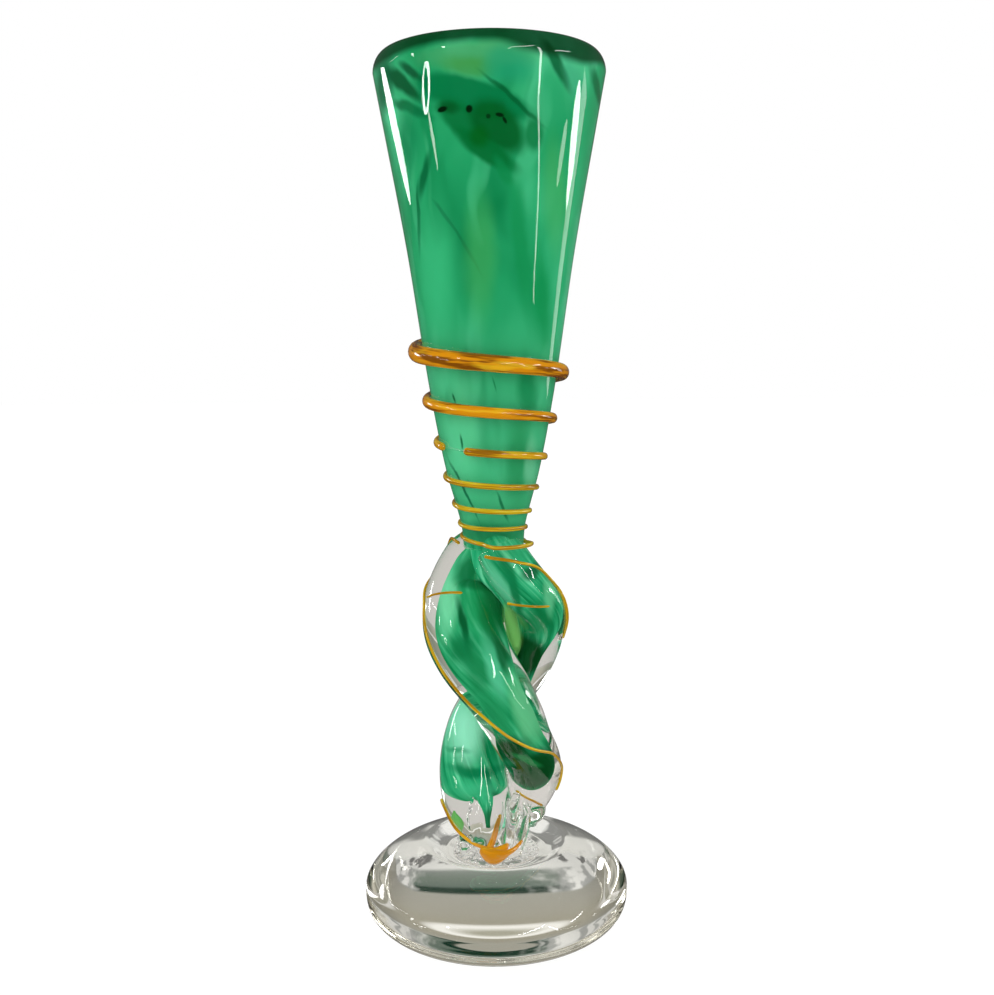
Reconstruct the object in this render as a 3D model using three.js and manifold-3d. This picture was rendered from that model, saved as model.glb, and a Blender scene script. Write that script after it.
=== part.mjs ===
// A blown glass vase on a clear foot, in millimetres, with +Z up and the foot resting on z = 0.
// Two strands of clear glass, each round a green core, twist about the Z axis and carry a tall
// tapering bowl of green glass cased in clear. An amber trail winds down the bowl and the stem.
// Glass pieces that were fused hot are modelled a small clearance apart, so each stays a solid.
import * as THREE from "three";
import { mergeVertices } from "three/addons/utils/BufferGeometryUtils.js";
import Module from "manifold-3d";

const wasm = await Module();
wasm.setup();

// Gap kept between two pieces that touch on the real vase.
const clearance = 0.3;

// The foot: a domed disc of solid glass, flat underneath. Its crown dips in the middle, and the
// seat for the pad is sunk into the dip.
const foot = {
  radius: 46.6,
  widestHeight: 17.9,
  baseRadius: 30.5,
  basePower: 1.98,
  crownRise: 13.3,
  crownPower: 1.62,
  dipRadius: 25,
  dipDepth: 3.1,
  seatHeight: 25.2,
  seatEase: 0.45,
  seatLip: 0.9,
};

// The joining pad: a thin crimped disc of clear glass between the foot and the stem.
const pad = { radius: 15.3, thickness: 1.6, crimps: 19, crimpDepth: 0.55, edgeRound: 0.8 };

// The stem: the strands' height between the pad and the bowl, and the start of their twist, a
// little above the bowl's underside. The stem bows a little towards +X, as it was bent while hot:
// the sway is given against the share of the way down.
const stem = {
  height: 108.3,
  crownAboveNeck: 5.3,
  sway: [
    [0, 0],
    [0.28, 0.2],
    [0.36, 1.3],
    [0.46, 2.8],
    [0.55, 1.6],
    [0.64, 0],
    [0.84, 0.5],
    [0.91, 1.9],
    [1, 4.2],
  ],
};

// The bowl's outside, as radius against the share of its height above its underside, and its two
// walls.
const bowl = {
  height: 164,
  outline: [
    [0, 10.4],
    [0.037, 10.8],
    [0.085, 12.6],
    [0.159, 15.9],
    [0.329, 21.2],
    [0.61, 28.1],
    [0.854, 35.2],
  ],
  mouthRadius: 38.4,
  lipRise: 6.3,
  lipOuterRound: 3.5,
  lipThickness: 5.0,
  lipCover: 3.0,
  casingWall: 2.1,
  colourWall: 2.2,
  casingFloor: 2.8,
  floorRound: 2.6,
  colourFloor: 9,
  wellShare: 0.6,
};

// Each strand's centreline turns about the Z axis as it goes down. Its reach from the axis, its
// own radius and its core's radius are given against the share of the way down, from 0 to 1. The
// shoulder rise is how far its clear glass climbs round the bowl's neck.
const leftStrand = {
  startAngle: 90,
  twist: 365,
  shoulderRise: 3.4,
  reach: [
    [0, 5.0],
    [0.126, 9.6],
    [0.497, 12.0],
    [0.643, 12.4],
    [0.739, 13.6],
    [0.856, 12.2],
    [0.924, 9.5],
    [1, 5.6],
  ],
  radius: [
    [0, 6.0],
    [0.097, 12.3],
    [0.26, 14.4],
    [0.497, 11.3],
    [0.739, 9.6],
    [0.836, 9.9],
    [0.907, 9.2],
    [1, 6.5],
  ],
  core: [
    [0, 4.4],
    [0.126, 7.6],
    [0.26, 8.4],
    [0.497, 5.7],
    [0.773, 4.4],
  ],
  coreInset: 1.1,
  coreEnd: 0.773,
};
const rightStrand = {
  startAngle: 270,
  twist: 342.5,
  shoulderRise: 0,
  reach: [
    [0, 4.6],
    [0.097, 9.9],
    [0.255, 16.5],
    [0.387, 13.8],
    [0.625, 9.7],
    [0.783, 8.2],
    [0.907, 6.9],
    [1, 4.6],
  ],
  radius: [
    [0, 6.0],
    [0.053, 8.2],
    [0.097, 8.7],
    [0.255, 8.4],
    [0.387, 10.6],
    [0.572, 11.0],
    [0.783, 11.9],
    [0.854, 11.7],
    [0.907, 10.6],
    [0.946, 8.0],
    [1, 5.0],
  ],
  core: [
    [0, 3.3],
    [0.097, 4.4],
    [0.255, 4.6],
    [0.387, 5.8],
    [0.54, 6.9],
    [0.84, 7.4],
  ],
  coreInset: 0.2,
  coreEnd: 0.84,
};

// Lumps of clear glass on the left strand where it was pressed on to the pad: a fold that hangs
// from its side, as [x, y, height over the pad, radius] down its middle, and a bead above it.
const fold = [
  [11.5, 3.5, 20.6, 3.0],
  [12.0, 3.0, 17.6, 4.6],
  [14.0, 2.0, 12.6, 4.0],
  [13.3, 1.5, 9.6, 3.6],
  [12.8, 1.5, 8.0, 1.8],
];
const bead = [18.6, 2.5, 18.2, 1.9];

// The amber trail on the bowl: it winds anticlockwise from the back as it goes down, its pitch
// and its thickness shrinking turn by turn, until it is down to its last height on the neck. Turns
// are counted from the bowl's left side, and heights are above the bowl's underside.
const winding = {
  topHeight: 67.8,
  lastHeight: 1.6,
  firstPitch: 17.9,
  lastPitch: 3.2,
  evenTurns: 6,
  tilt: 0.5,
  lastRingSag: 1.9,
  sagTurns: 0.3,
  thinThickness: 1.3,
  extraThickness: 5.1,
  thinningTurns: 1.7,
  flatness: 0.84,
  startTurn: -0.25,
  breakTurn: 2.085,
  restartTurn: 2.165,
};

// Where the trail was drawn thin it leaves a bridge of clear glass.
const bridgeThickness = 0.8;

// Threads of the trail on the strands. A route is a few places on a strand, each a share of the
// way down it and an angle round it from its outward side. The thickness is given along the route.
const threads = {
  trail_left_strand: {
    on: leftStrand,
    route: [
      [0.068, -104],
      [0.089, -50],
      [0.15, -8],
      [0.232, -24],
      [0.277, -14],
      [0.383, 20],
      [0.476, 39],
      [0.546, 36],
      [0.677, 6],
      [0.735, 8],
      [0.783, 45],
    ],
    thickness: [
      [0, 1.4],
      [1, 1.2],
    ],
    steps: 52,
  },
  trail_right_shoulder: {
    on: rightStrand,
    route: [
      [0.05, 52],
      [0.09, 4],
      [0.15, -30],
      [0.2, -28],
      [0.25, 8],
      [0.31, 32],
    ],
    thickness: [
      [0, 1.5],
      [0.55, 1.2],
      [0.82, 1.7],
      [1, 1.0],
    ],
    steps: 30,
  },
  trail_left_eye: {
    on: leftStrand,
    route: [
      [0.232, -94],
      [0.2325, -60],
      [0.233, -32],
    ],
    thickness: [
      [0, 1.2],
      [1, 0.9],
    ],
    steps: 10,
  },
  trail_right_eye: {
    on: rightStrand,
    route: [
      [0.15, 100],
      [0.164, 74],
      [0.198, 30],
    ],
    thickness: [
      [0, 1.5],
      [0.3, 1.0],
      [1, 0.9],
    ],
    steps: 10,
  },
  trail_lower_right: {
    on: leftStrand,
    route: [
      [0.775, 138],
      [0.79, 106],
      [0.815, 84],
    ],
    thickness: [
      [0, 1.0],
      [1, 1.1],
    ],
    steps: 12,
  },
  trail_foot: {
    on: rightStrand,
    route: [
      [0.82, 8],
      [0.85, -4],
      [0.885, 0],
      [0.925, -3],
      [0.95, -12],
      [0.966, -28],
      [0.968, -58],
    ],
    thickness: [
      [0, 1.3],
      [0.6, 1.6],
      [0.84, 4.4],
      [1, 1.4],
    ],
    steps: 28,
  },
};

// How the trail and the threads are drawn in at their ends, as shares of their thickness there.
const tips = { winding: 0.55, thread: 0.6 };

// Facets: points round a lathed piece, a strand, a core, a thread and a lump, and points along
// the profiles and the windings. The crowding draws heights on the bowl together at its throat.
const facets = {
  lathe: 32,
  foot: 40,
  strand: 18,
  bore: 12,
  core: 12,
  thread: 6,
  lump: 10,
  perCrimp: 3,
  footSide: 7,
  footCrown: 12,
  padEdge: 5,
  lip: 9,
  casingOutside: 14,
  casingInside: 11,
  colourInside: 10,
  crowding: 1.6,
  windingSteps: 22,
  strandSteps: 36,
  coreSteps: 17,
  coreRoundSteps: 6,
};

// Heights worked up from the floor, each piece a clearance above the one that carries it.
const padBottom = foot.seatHeight + clearance;
const padTop = padBottom + pad.thickness;
const stemBottom = padTop + clearance;
const stemTop = stemBottom + stem.height;
const bowlBottom = stemTop + clearance;
const bowlTop = bowlBottom + bowl.height;
const strandCrown = stemTop + stem.crownAboveNeck;

// The seat takes the pad with its crimps.
const seatRadius = pad.radius + pad.crimpDepth + foot.seatEase;

// A smooth rise or fall through [place, value] pairs that never overshoots a pair.
function through(pairs, place) {
  const last = pairs.length - 1;
  if (place <= pairs[0][0]) return pairs[0][1];
  if (place >= pairs[last][0]) return pairs[last][1];
  const slope = (i) => (pairs[i + 1][1] - pairs[i][1]) / (pairs[i + 1][0] - pairs[i][0]);
  const tangent = (i) => {
    if (i === 0) return slope(0);
    if (i === last) return slope(last - 1);
    const before = slope(i - 1);
    const after = slope(i);
    return before * after <= 0 ? 0 : (2 * before * after) / (before + after);
  };
  const i = pairs.findIndex((pair, k) => k < last && place <= pairs[k + 1][0]);
  const span = pairs[i + 1][0] - pairs[i][0];
  const u = (place - pairs[i][0]) / span;
  const rise = u * u * (3 - 2 * u);
  return (
    pairs[i][1] * (1 - rise) +
    pairs[i + 1][1] * rise +
    span * u * (1 - u) * ((1 - u) * tangent(i) - u * tangent(i + 1))
  );
}

// Evenly spaced numbers from a first to a last, both included.
function spread(first, last, count) {
  return Array.from({ length: count }, (_, i) => first + ((last - first) * i) / (count - 1));
}

// Heights on the bowl from a first to a last, closer together towards its narrow throat.
function bowlHeights(first, last, count) {
  return spread(0, 1, count).map((share) => first + (last - first) * share ** facets.crowding);
}

// A solid of revolution about Z, from a profile of [radius, height] pairs that starts and ends
// on the axis.
function lathe(profile, segments = facets.lathe) {
  const points = profile.map(([radius, height]) => new THREE.Vector2(radius, height));
  return new THREE.LatheGeometry(points, segments).rotateX(Math.PI / 2);
}

// A closed tube through rings, each a centre, two half-axis vectors and so an ellipse.
function tube(rings, sides) {
  const positions = [];
  for (const { centre, across, along } of rings)
    for (let k = 0; k < sides; k += 1) {
      const turn = (2 * Math.PI * k) / sides;
      const point = centre.clone().addScaledVector(across, Math.cos(turn));
      positions.push(...point.addScaledVector(along, Math.sin(turn)));
    }
  const firstCentre = positions.length / 3;
  positions.push(...rings[0].centre, ...rings[rings.length - 1].centre);
  const faces = [];
  for (let i = 0; i + 1 < rings.length; i += 1)
    for (let k = 0; k < sides; k += 1) {
      const next = (k + 1) % sides;
      const [a, b] = [i * sides + k, i * sides + next];
      faces.push(a, b, b + sides, a, b + sides, a + sides);
    }
  const lastRing = (rings.length - 1) * sides;
  for (let k = 0; k < sides; k += 1) {
    const next = (k + 1) % sides;
    faces.push(firstCentre, next, k, firstCentre + 1, lastRing + k, lastRing + next);
  }
  const geometry = new THREE.BufferGeometry();
  geometry.setAttribute("position", new THREE.Float32BufferAttribute(positions, 3));
  geometry.setIndex(faces);
  return geometry;
}

// A closed geometry as a solid that can be cut and joined.
function solid(geometry) {
  const bare = geometry.clone();
  bare.deleteAttribute("normal");
  bare.deleteAttribute("uv");
  const merged = mergeVertices(bare, 1e-4);
  const vertProperties = new Float32Array(merged.attributes.position.array);
  const triVerts = new Uint32Array(merged.index.array);
  return new wasm.Manifold(new wasm.Mesh({ numProp: 3, vertProperties, triVerts }));
}

// A solid's surface as a three.js geometry.
function geometryOf(shape) {
  const { vertProperties, triVerts } = shape.getMesh();
  const geometry = new THREE.BufferGeometry();
  geometry.setAttribute("position", new THREE.BufferAttribute(vertProperties, 3));
  geometry.setIndex(new THREE.BufferAttribute(triVerts, 1));
  geometry.computeVertexNormals();
  return geometry;
}

// A plain disc about the Z axis between two heights, wide enough to trim any piece by default.
function disc(low, high, radius = 2 * foot.radius) {
  const geometry = new THREE.CylinderGeometry(radius, radius, high - low, facets.lathe);
  return solid(geometry.rotateX(Math.PI / 2).translate(0, 0, (low + high) / 2));
}

// The radius at a height of a rounded side that starts widest and closes at a rise above it.
function rounded(widest, rise, power, height) {
  return widest * (1 - (height / rise) ** power) ** (1 / power);
}

// The foot's section: flat base, bulging side, domed crown with its dip, and the seat in the dip.
function footGeometry() {
  const { radius, widestHeight, baseRadius, basePower, crownRise, crownPower } = foot;
  const fullDrop = widestHeight / (1 - (baseRadius / radius) ** basePower) ** (1 / basePower);
  const lower = spread(0, widestHeight, facets.footSide).map((height) => [
    rounded(radius, fullDrop, basePower, widestHeight - height),
    height,
  ]);
  const lipRadius = seatRadius + foot.seatLip;
  const lipShare = (1 - (lipRadius / radius) ** crownPower) ** (1 / crownPower);
  const upper = spread(0, 1, facets.footCrown)
    .slice(1)
    .map((share) => {
      const rise = crownRise * lipShare * Math.sin((share * Math.PI) / 2);
      const place = rounded(radius, crownRise, crownPower, rise);
      const sink = foot.dipDepth * (1 - THREE.MathUtils.smoothstep(place, lipRadius, foot.dipRadius));
      return [place, widestHeight + rise - sink];
    });
  const seat = [seatRadius, foot.seatHeight];
  return lathe([[0, 0], ...lower, ...upper, seat, [0, foot.seatHeight]], facets.foot);
}

// The pad: a disc with a rounded edge that is crimped in and out all the way round.
function padGeometry() {
  const { radius, thickness, crimps, crimpDepth, edgeRound } = pad;
  const edge = spread(-Math.PI / 2, Math.PI / 2, facets.padEdge).map((angle) => [
    radius - edgeRound + edgeRound * Math.cos(angle),
    thickness / 2 + (thickness / 2) * Math.sin(angle),
  ]);
  const geometry = lathe([[0, 0], ...edge, [0, thickness]], crimps * facets.perCrimp);
  const places = geometry.attributes.position;
  for (let i = 0; i < places.count; i += 1) {
    const [x, y] = [places.getX(i), places.getY(i)];
    const wave = crimpDepth * Math.cos(crimps * Math.atan2(y, x));
    const grow = 1 + (wave / radius) * Math.min(1, Math.hypot(x, y) / radius);
    places.setXY(i, x * grow, y * grow);
  }
  return geometry.translate(0, 0, padBottom);
}

// The bowl's outer radius at a height above its underside.
function bowlRadius(height) {
  const shoulder = [1 - bowl.lipRise / bowl.height, bowl.mouthRadius];
  return through([...bowl.outline, shoulder], height / bowl.height);
}

// Heights at which the casing's inside and the colour's outside are both given, so that the two
// faceted walls run side by side, up to the shoulder of the lip and then on to the colour's rim.
const lipBase = bowl.height - bowl.lipRise;
const rimHeight = bowl.height - bowl.lipCover;
const wallHeights = [
  ...bowlHeights(bowl.casingFloor + bowl.floorRound, lipBase, facets.casingInside),
  rimHeight,
];

// The lip's section: its crest, and how far it is round to either side at a height.
const lipCrest = bowl.mouthRadius - bowl.lipOuterRound;
const lipInnerRound = bowl.lipThickness - bowl.lipOuterRound;
function lipPoint(angle) {
  const round = angle < Math.PI / 2 ? bowl.lipOuterRound : lipInnerRound;
  return [lipCrest + Math.cos(angle) * round, lipBase + bowl.lipRise * Math.sin(angle)];
}

// The colour's outer radius at a height: a wall and a clearance inside the bowl's outside.
function colourRadius(height) {
  const rise = Math.max(0, (height - lipBase) / bowl.lipRise);
  const outside = height > lipBase ? lipPoint(Math.asin(rise))[0] : bowlRadius(height);
  return outside - bowl.casingWall - clearance;
}

// The bowl's clear casing: a tall cup whose lip is folded over the rim of the colour inside it.
function bowlCasingGeometry() {
  const outside = bowlHeights(0, lipBase, facets.casingOutside).map((height) => [
    bowlRadius(height),
    height,
  ]);
  const hem = Math.PI - Math.asin((rimHeight - lipBase) / bowl.lipRise);
  const lip = spread(0, hem, facets.lip).slice(1).map(lipPoint);
  const inside = wallHeights.map((height) => [colourRadius(height) + clearance, height]);
  const toe = [inside[0][0] - bowl.floorRound, bowl.casingFloor];
  const profile = [[0, 0], ...outside, ...lip, ...inside.reverse(), toe, [0, bowl.casingFloor]];
  return lathe(profile).translate(0, 0, bowlBottom);
}

// The bowl's colour: a green cup inside the casing, thick at its foot and open at its mouth. Its
// rim is drawn in with the lip.
function bowlColourGeometry() {
  const bottom = bowl.casingFloor + clearance;
  const outside = wallHeights.map((height) => [colourRadius(height), height]);
  outside[outside.length - 1][1] -= clearance;
  const innerFloor = bottom + bowl.colourFloor;
  const innerRadius = (height) => colourRadius(height) - bowl.colourWall;
  const inside = bowlHeights(innerFloor + bowl.floorRound, lipBase, facets.colourInside)
    .reverse()
    .map((height) => [innerRadius(height), height]);
  const rim = [lipPoint(Math.PI)[0], rimHeight - clearance];
  const toe = [outside[0][0] - bowl.floorRound, bottom];
  const well = [innerRadius(innerFloor) * bowl.wellShare, innerFloor];
  const profile = [[0, bottom], toe, ...outside, rim, ...inside, well, [0, innerFloor]];
  return lathe(profile).translate(0, 0, bowlBottom);
}

// The direction from the stem's axis to a strand, a share of the way down.
function strandDirection(strand, share) {
  const angle = THREE.MathUtils.degToRad(strand.startAngle + strand.twist * share);
  return new THREE.Vector3(Math.cos(angle), Math.sin(angle), 0);
}

// A point on a strand's centreline, a share of the way down.
function strandPoint(strand, share, inset = 0) {
  const height = strandCrown + (stemBottom - strandCrown) * share;
  return new THREE.Vector3(through(stem.sway, share), 0, height).addScaledVector(
    strandDirection(strand, share),
    through(strand.reach, share) - inset,
  );
}

// The frame there: the point, the way the strand runs, its outward side and the side across.
function strandFrame(strand, share, inset = 0) {
  const step = 0.002;
  const centre = strandPoint(strand, share, inset);
  const before = strandPoint(strand, share - step, inset);
  const ahead = strandPoint(strand, share + step, inset).sub(before).normalize();
  const outward = strandDirection(strand, share);
  outward.addScaledVector(ahead, -outward.dot(ahead)).normalize();
  const side = new THREE.Vector3().crossVectors(ahead, outward);
  return { centre, ahead, outward, side };
}

// A round tube along a strand, with a radius for each share of the way down.
function alongStrand(strand, shares, radiusAt, sides, inset = 0) {
  const rings = shares.map((share) => {
    const { centre, outward, side } = strandFrame(strand, share, inset);
    const radius = radiusAt(share);
    return {
      centre,
      across: outward.multiplyScalar(radius),
      along: side.multiplyScalar(radius),
    };
  });
  return solid(tube(rings, sides));
}

// The strand's glass before it is bored: it runs on past its lower end, and is trimmed flat there.
function strandBody(strand, grow = 0) {
  const overrun = 0.03;
  const shares = spread(0, 1 + overrun, facets.strandSteps);
  return alongStrand(strand, shares, (share) => through(strand.radius, share) + grow, facets.strand);
}

// The strand's core, or with a growth the bore that holds it: a tube with a rounded lower end,
// whose last ring is closed flat at a small share of its radius.
function coreBody(strand, grow, top) {
  const end = strand.coreEnd + grow / (strandCrown - stemBottom);
  const roundLength = 0.05;
  const closed = 0.14;
  const straight = spread(0, end - roundLength, facets.coreSteps);
  const round = spread(0, Math.PI / 2, facets.coreRoundSteps)
    .slice(1)
    .map((angle) => end - roundLength * (1 - Math.sin(angle)));
  const radiusAt = (share) => {
    const past = Math.max(0, 1 - Math.max(0, end - share) / roundLength);
    return (through(strand.core, share) + grow) * Math.max(closed, Math.sqrt(1 - past ** 2));
  };
  const sides = grow > 0 ? facets.bore : facets.core;
  const body = alongStrand(strand, [...straight, ...round], radiusAt, sides, strand.coreInset);
  return body.intersect(disc(0, top));
}

// A strand's clear casing: its body with any lumps, bored for its core, trimmed to the pad and cut
// round the bowl's neck.
function casingBody(strand, lumps = []) {
  const neck = disc(stemTop, bowlTop, bowl.outline[0][1] + 2 * clearance);
  return wasm.Manifold.union([strandBody(strand), ...lumps])
    .intersect(disc(stemBottom, stemTop + strand.shoulderRise))
    .subtract(neck)
    .subtract(coreBody(strand, clearance, stemTop + clearance));
}

// The lumps on the left strand.
function foldBody() {
  const rings = fold.map(([x, y, rise, radius]) => ({
    centre: new THREE.Vector3(x, y, stemBottom + rise),
    across: new THREE.Vector3(radius, 0, 0),
    along: new THREE.Vector3(0, -radius, 0),
  }));
  return solid(tube(rings, facets.lump));
}
function beadBody() {
  const [x, y, rise, radius] = bead;
  const sphere = new THREE.SphereGeometry(radius, facets.lump, facets.lump / 2);
  return solid(sphere.translate(x, y, stemBottom + rise));
}

// The trail on the bowl at a turn: its height above the bowl's underside and its thickness.
function windingHeight(turn) {
  const { firstPitch, lastPitch, evenTurns, tilt, lastRingSag, sagTurns } = winding;
  const drop = firstPitch * turn + ((lastPitch - firstPitch) * turn * turn) / (2 * evenTurns);
  const sag = lastRingSag * THREE.MathUtils.smoothstep(turn, evenTurns, evenTurns + sagTurns);
  const lean = tilt * Math.cos(2 * Math.PI * (turn + 0.5));
  return winding.topHeight - drop - sag + lean;
}
function windingThickness(turn) {
  return winding.thinThickness + winding.extraThickness * Math.exp(-turn / winding.thinningTurns);
}

// An ellipse of the trail at a turn, standing off the bowl by the clearance.
function windingRing(turn, thickness) {
  const angle = 2 * Math.PI * (turn + 0.5);
  const height = windingHeight(turn);
  const outward = new THREE.Vector3(Math.cos(angle), Math.sin(angle), 0);
  const halfDepth = (thickness * winding.flatness) / 2;
  const lift = Math.max(...[-0.5, 0, 0.5].map((k) => bowlRadius(height + k * thickness)));
  const centre = outward.clone().multiplyScalar(lift + clearance + halfDepth);
  centre.z = bowlBottom + height;
  return {
    centre,
    across: outward.multiplyScalar(halfDepth),
    along: new THREE.Vector3(0, 0, -thickness / 2),
  };
}

// A stretch of the trail as rings, drawn in to a rounded tip at both ends.
function windingStretch(firstTurn, lastTurn, thicknessAt = windingThickness) {
  const count = Math.max(4, Math.ceil((lastTurn - firstTurn) * facets.windingSteps) + 1);
  return spread(firstTurn, lastTurn, count).map((turn, i) => {
    const tip = i === 0 || i === count - 1 ? tips.winding : 1;
    return windingRing(turn, thicknessAt(turn) * tip);
  });
}

// The least gap between any two places of a winding that are over half a turn apart.
function leastSelfGap(rings) {
  let least = Infinity;
  rings.forEach((ring, i) =>
    rings.slice(i + facets.windingSteps / 2 + 1).forEach((other) => {
      const reach = ring.along.length() + other.along.length();
      least = Math.min(least, ring.centre.distanceTo(other.centre) - reach);
    }),
  );
  return least;
}

// A thread on a strand, laid a clearance off its surface, with small rounded tips. Where the
// strand swells or narrows under it, the thread lies on the thickest place within its own width.
function threadRings({ on, route, thickness, steps }) {
  const shares = route.map(([share], i) => [i / (route.length - 1), share]);
  const angles = route.map(([, angle], i) => [i / (route.length - 1), angle]);
  const places = spread(0, 1, steps + 1).map((k) => {
    const share = through(shares, k);
    const half = (through(thickness, k) * (k === 0 || k === 1 ? tips.thread : 1)) / 2;
    const reach = (2 * half) / (strandCrown - stemBottom);
    const under = spread(share - reach, share + reach, 5);
    const girth = Math.max(...under.map((place) => through(on.radius, place)));
    const { centre, outward, side } = strandFrame(on, share);
    const turn = THREE.MathUtils.degToRad(through(angles, k));
    const away = outward.multiplyScalar(Math.cos(turn)).addScaledVector(side, Math.sin(turn));
    return { away, half, point: centre.addScaledVector(away, girth + clearance + half) };
  });
  return places.map(({ point, away, half }, i) => {
    const next = places[Math.min(i + 1, steps)].point;
    const ahead = next.clone().sub(places[Math.max(i - 1, 0)].point).normalize();
    const across = away.clone().addScaledVector(ahead, -away.dot(ahead)).normalize();
    const along = new THREE.Vector3().crossVectors(ahead, across);
    return { centre: point, across: across.multiplyScalar(half), along: along.multiplyScalar(half) };
  });
}

// Finishes: clear glass with a faint warm grey, the green of the bowl and cores, and the amber.
const clearGlass = { color: 0xd9d4cf, roughness: 0.04, metalness: 0, transparent: true, opacity: 0.35 };
const greenGlass = { color: 0x1fa565, roughness: 0.12, metalness: 0 };
const amberGlass = { color: 0xd9921a, roughness: 0.1, metalness: 0 };

const vase = new THREE.Group();

// Adds one named piece of the vase.
function add(name, geometry, finish) {
  const mesh = new THREE.Mesh(geometry, new THREE.MeshStandardMaterial(finish));
  mesh.name = name;
  vase.add(mesh);
}

add("foot", footGeometry(), clearGlass);
add("joining_pad", padGeometry(), clearGlass);

// The right strand is drawn in where it lies against the left one.
const leftCasing = casingBody(leftStrand, [foldBody(), beadBody()]);
const rightCasing = casingBody(rightStrand).subtract(strandBody(leftStrand, clearance));
add("left_strand_casing", geometryOf(leftCasing), clearGlass);
add("left_strand_core", geometryOf(coreBody(leftStrand, 0, stemTop)), greenGlass);
add("right_strand_casing", geometryOf(rightCasing), clearGlass);
add("right_strand_core", geometryOf(coreBody(rightStrand, 0, stemTop)), greenGlass);

add("bowl_casing", bowlCasingGeometry(), clearGlass);
add("bowl_colour", bowlColourGeometry(), greenGlass);

const { startTurn, breakTurn, restartTurn, lastHeight } = winding;
let endTurn = restartTurn;
while (windingHeight(endTurn) > lastHeight) endTurn += 1 / facets.windingSteps;
const stretches = {
  trail_upper_rings: windingStretch(startTurn, breakTurn),
  trail_lower_rings: windingStretch(restartTurn, endTurn),
};
for (const [name, rings] of Object.entries(stretches)) {
  add(name, tube(rings, facets.thread), amberGlass);
  console.log(`${name}: least gap to itself ${leastSelfGap(rings).toFixed(2)} mm`);
}
const tipGap = clearance / (2 * Math.PI * bowlRadius(windingHeight(breakTurn)));
const bridge = windingStretch(breakTurn + tipGap, restartTurn - tipGap, () => bridgeThickness);
add("trail_bridge", tube(bridge, facets.thread), clearGlass);

for (const [name, thread] of Object.entries(threads))
  add(name, tube(threadRings(thread), facets.thread), amberGlass);

export default vase;
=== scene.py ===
import logging
import math
from dataclasses import dataclass, replace
from enum import Enum

import bpy
import numpy as np
from mathutils import Matrix, Vector
from mathutils.bvhtree import BVHTree


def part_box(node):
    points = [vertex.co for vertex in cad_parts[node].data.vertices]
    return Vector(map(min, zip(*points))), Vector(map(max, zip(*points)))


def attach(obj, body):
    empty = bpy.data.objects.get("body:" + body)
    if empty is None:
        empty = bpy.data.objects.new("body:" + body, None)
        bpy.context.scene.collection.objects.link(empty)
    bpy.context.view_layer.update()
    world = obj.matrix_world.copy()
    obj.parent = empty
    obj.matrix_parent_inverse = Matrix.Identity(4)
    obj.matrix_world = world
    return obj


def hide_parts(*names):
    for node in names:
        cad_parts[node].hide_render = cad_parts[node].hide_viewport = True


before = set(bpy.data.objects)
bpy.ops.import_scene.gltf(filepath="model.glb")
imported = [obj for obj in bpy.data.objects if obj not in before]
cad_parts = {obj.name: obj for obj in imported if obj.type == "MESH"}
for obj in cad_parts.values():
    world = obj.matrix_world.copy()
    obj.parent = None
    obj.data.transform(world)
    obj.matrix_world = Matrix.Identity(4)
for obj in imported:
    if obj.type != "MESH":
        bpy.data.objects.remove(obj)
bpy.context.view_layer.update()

log = logging.getLogger("vase")

MM = 0.001
Pairs = tuple[tuple[float, float], ...]
Colour = tuple[float, float, float]
WHITE: Colour = (1.0, 1.0, 1.0)
BLACK: Colour = (0.0, 0.0, 0.0)


def through(pairs: Pairs, places: np.ndarray | float) -> np.ndarray:
    """Follow a smooth curve through [place, value] pairs that never overshoots a pair.

    Args:
        pairs: places in rising order, each with its value.
        places: where the curve is read; outside the pairs it keeps its end values.

    Returns:
        The value at each place.
    """
    known, values = np.array(pairs, float).T
    slope = np.diff(values) / np.diff(known)
    tangent = np.empty(len(known))
    tangent[0], tangent[-1] = slope[0], slope[-1]
    product = slope[:-1] * slope[1:]
    total = slope[:-1] + slope[1:]
    level = product <= 0
    tangent[1:-1] = np.where(level, 0, 2 * product / np.where(level, 1, total))
    asked = np.clip(np.asarray(places, float), known[0], known[-1])
    i = np.clip(np.searchsorted(known, asked) - 1, 0, len(slope) - 1)
    span = known[i + 1] - known[i]
    u = (asked - known[i]) / span
    rise = u * u * (3 - 2 * u)
    bend = span * u * (1 - u) * ((1 - u) * tangent[i] - u * tangent[i + 1])
    return values[i] * (1 - rise) + values[i + 1] * rise + bend


def smoothstep(places: np.ndarray, low: float, high: float) -> np.ndarray:
    """Rise smoothly from 0 at low to 1 at high."""
    u = np.clip((places - low) / (high - low), 0, 1)
    return u * u * (3 - 2 * u)


def traced(values: np.ndarray, places: np.ndarray) -> np.ndarray:
    """Follow a smooth curve through values that stand at even steps from 0 to 1."""
    return through(tuple(zip(np.linspace(0, 1, len(values)), values, strict=True)), places)


def unit(vectors: np.ndarray) -> np.ndarray:
    """Scale each vector to a length of 1."""
    return vectors / np.linalg.norm(vectors, axis=-1, keepdims=True)


def square_to(vectors: np.ndarray, ahead: np.ndarray) -> np.ndarray:
    """Lean each vector until it stands square to the way ahead, and scale it to length 1."""
    return unit(vectors - ahead * np.sum(vectors * ahead, -1, keepdims=True))


def heading(angle: np.ndarray) -> np.ndarray:
    """Give the level direction at each angle about the Z axis, in radians."""
    return np.stack([np.cos(angle), np.sin(angle), np.zeros(len(angle))], -1)


def rounded(past: np.ndarray, least: float) -> np.ndarray:
    """Give a rounded end's girth at shares of its length, but not below the root of least."""
    return np.sqrt(np.maximum(least, 1 - (1 - np.clip(past, 0, 1)) ** 2))


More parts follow.
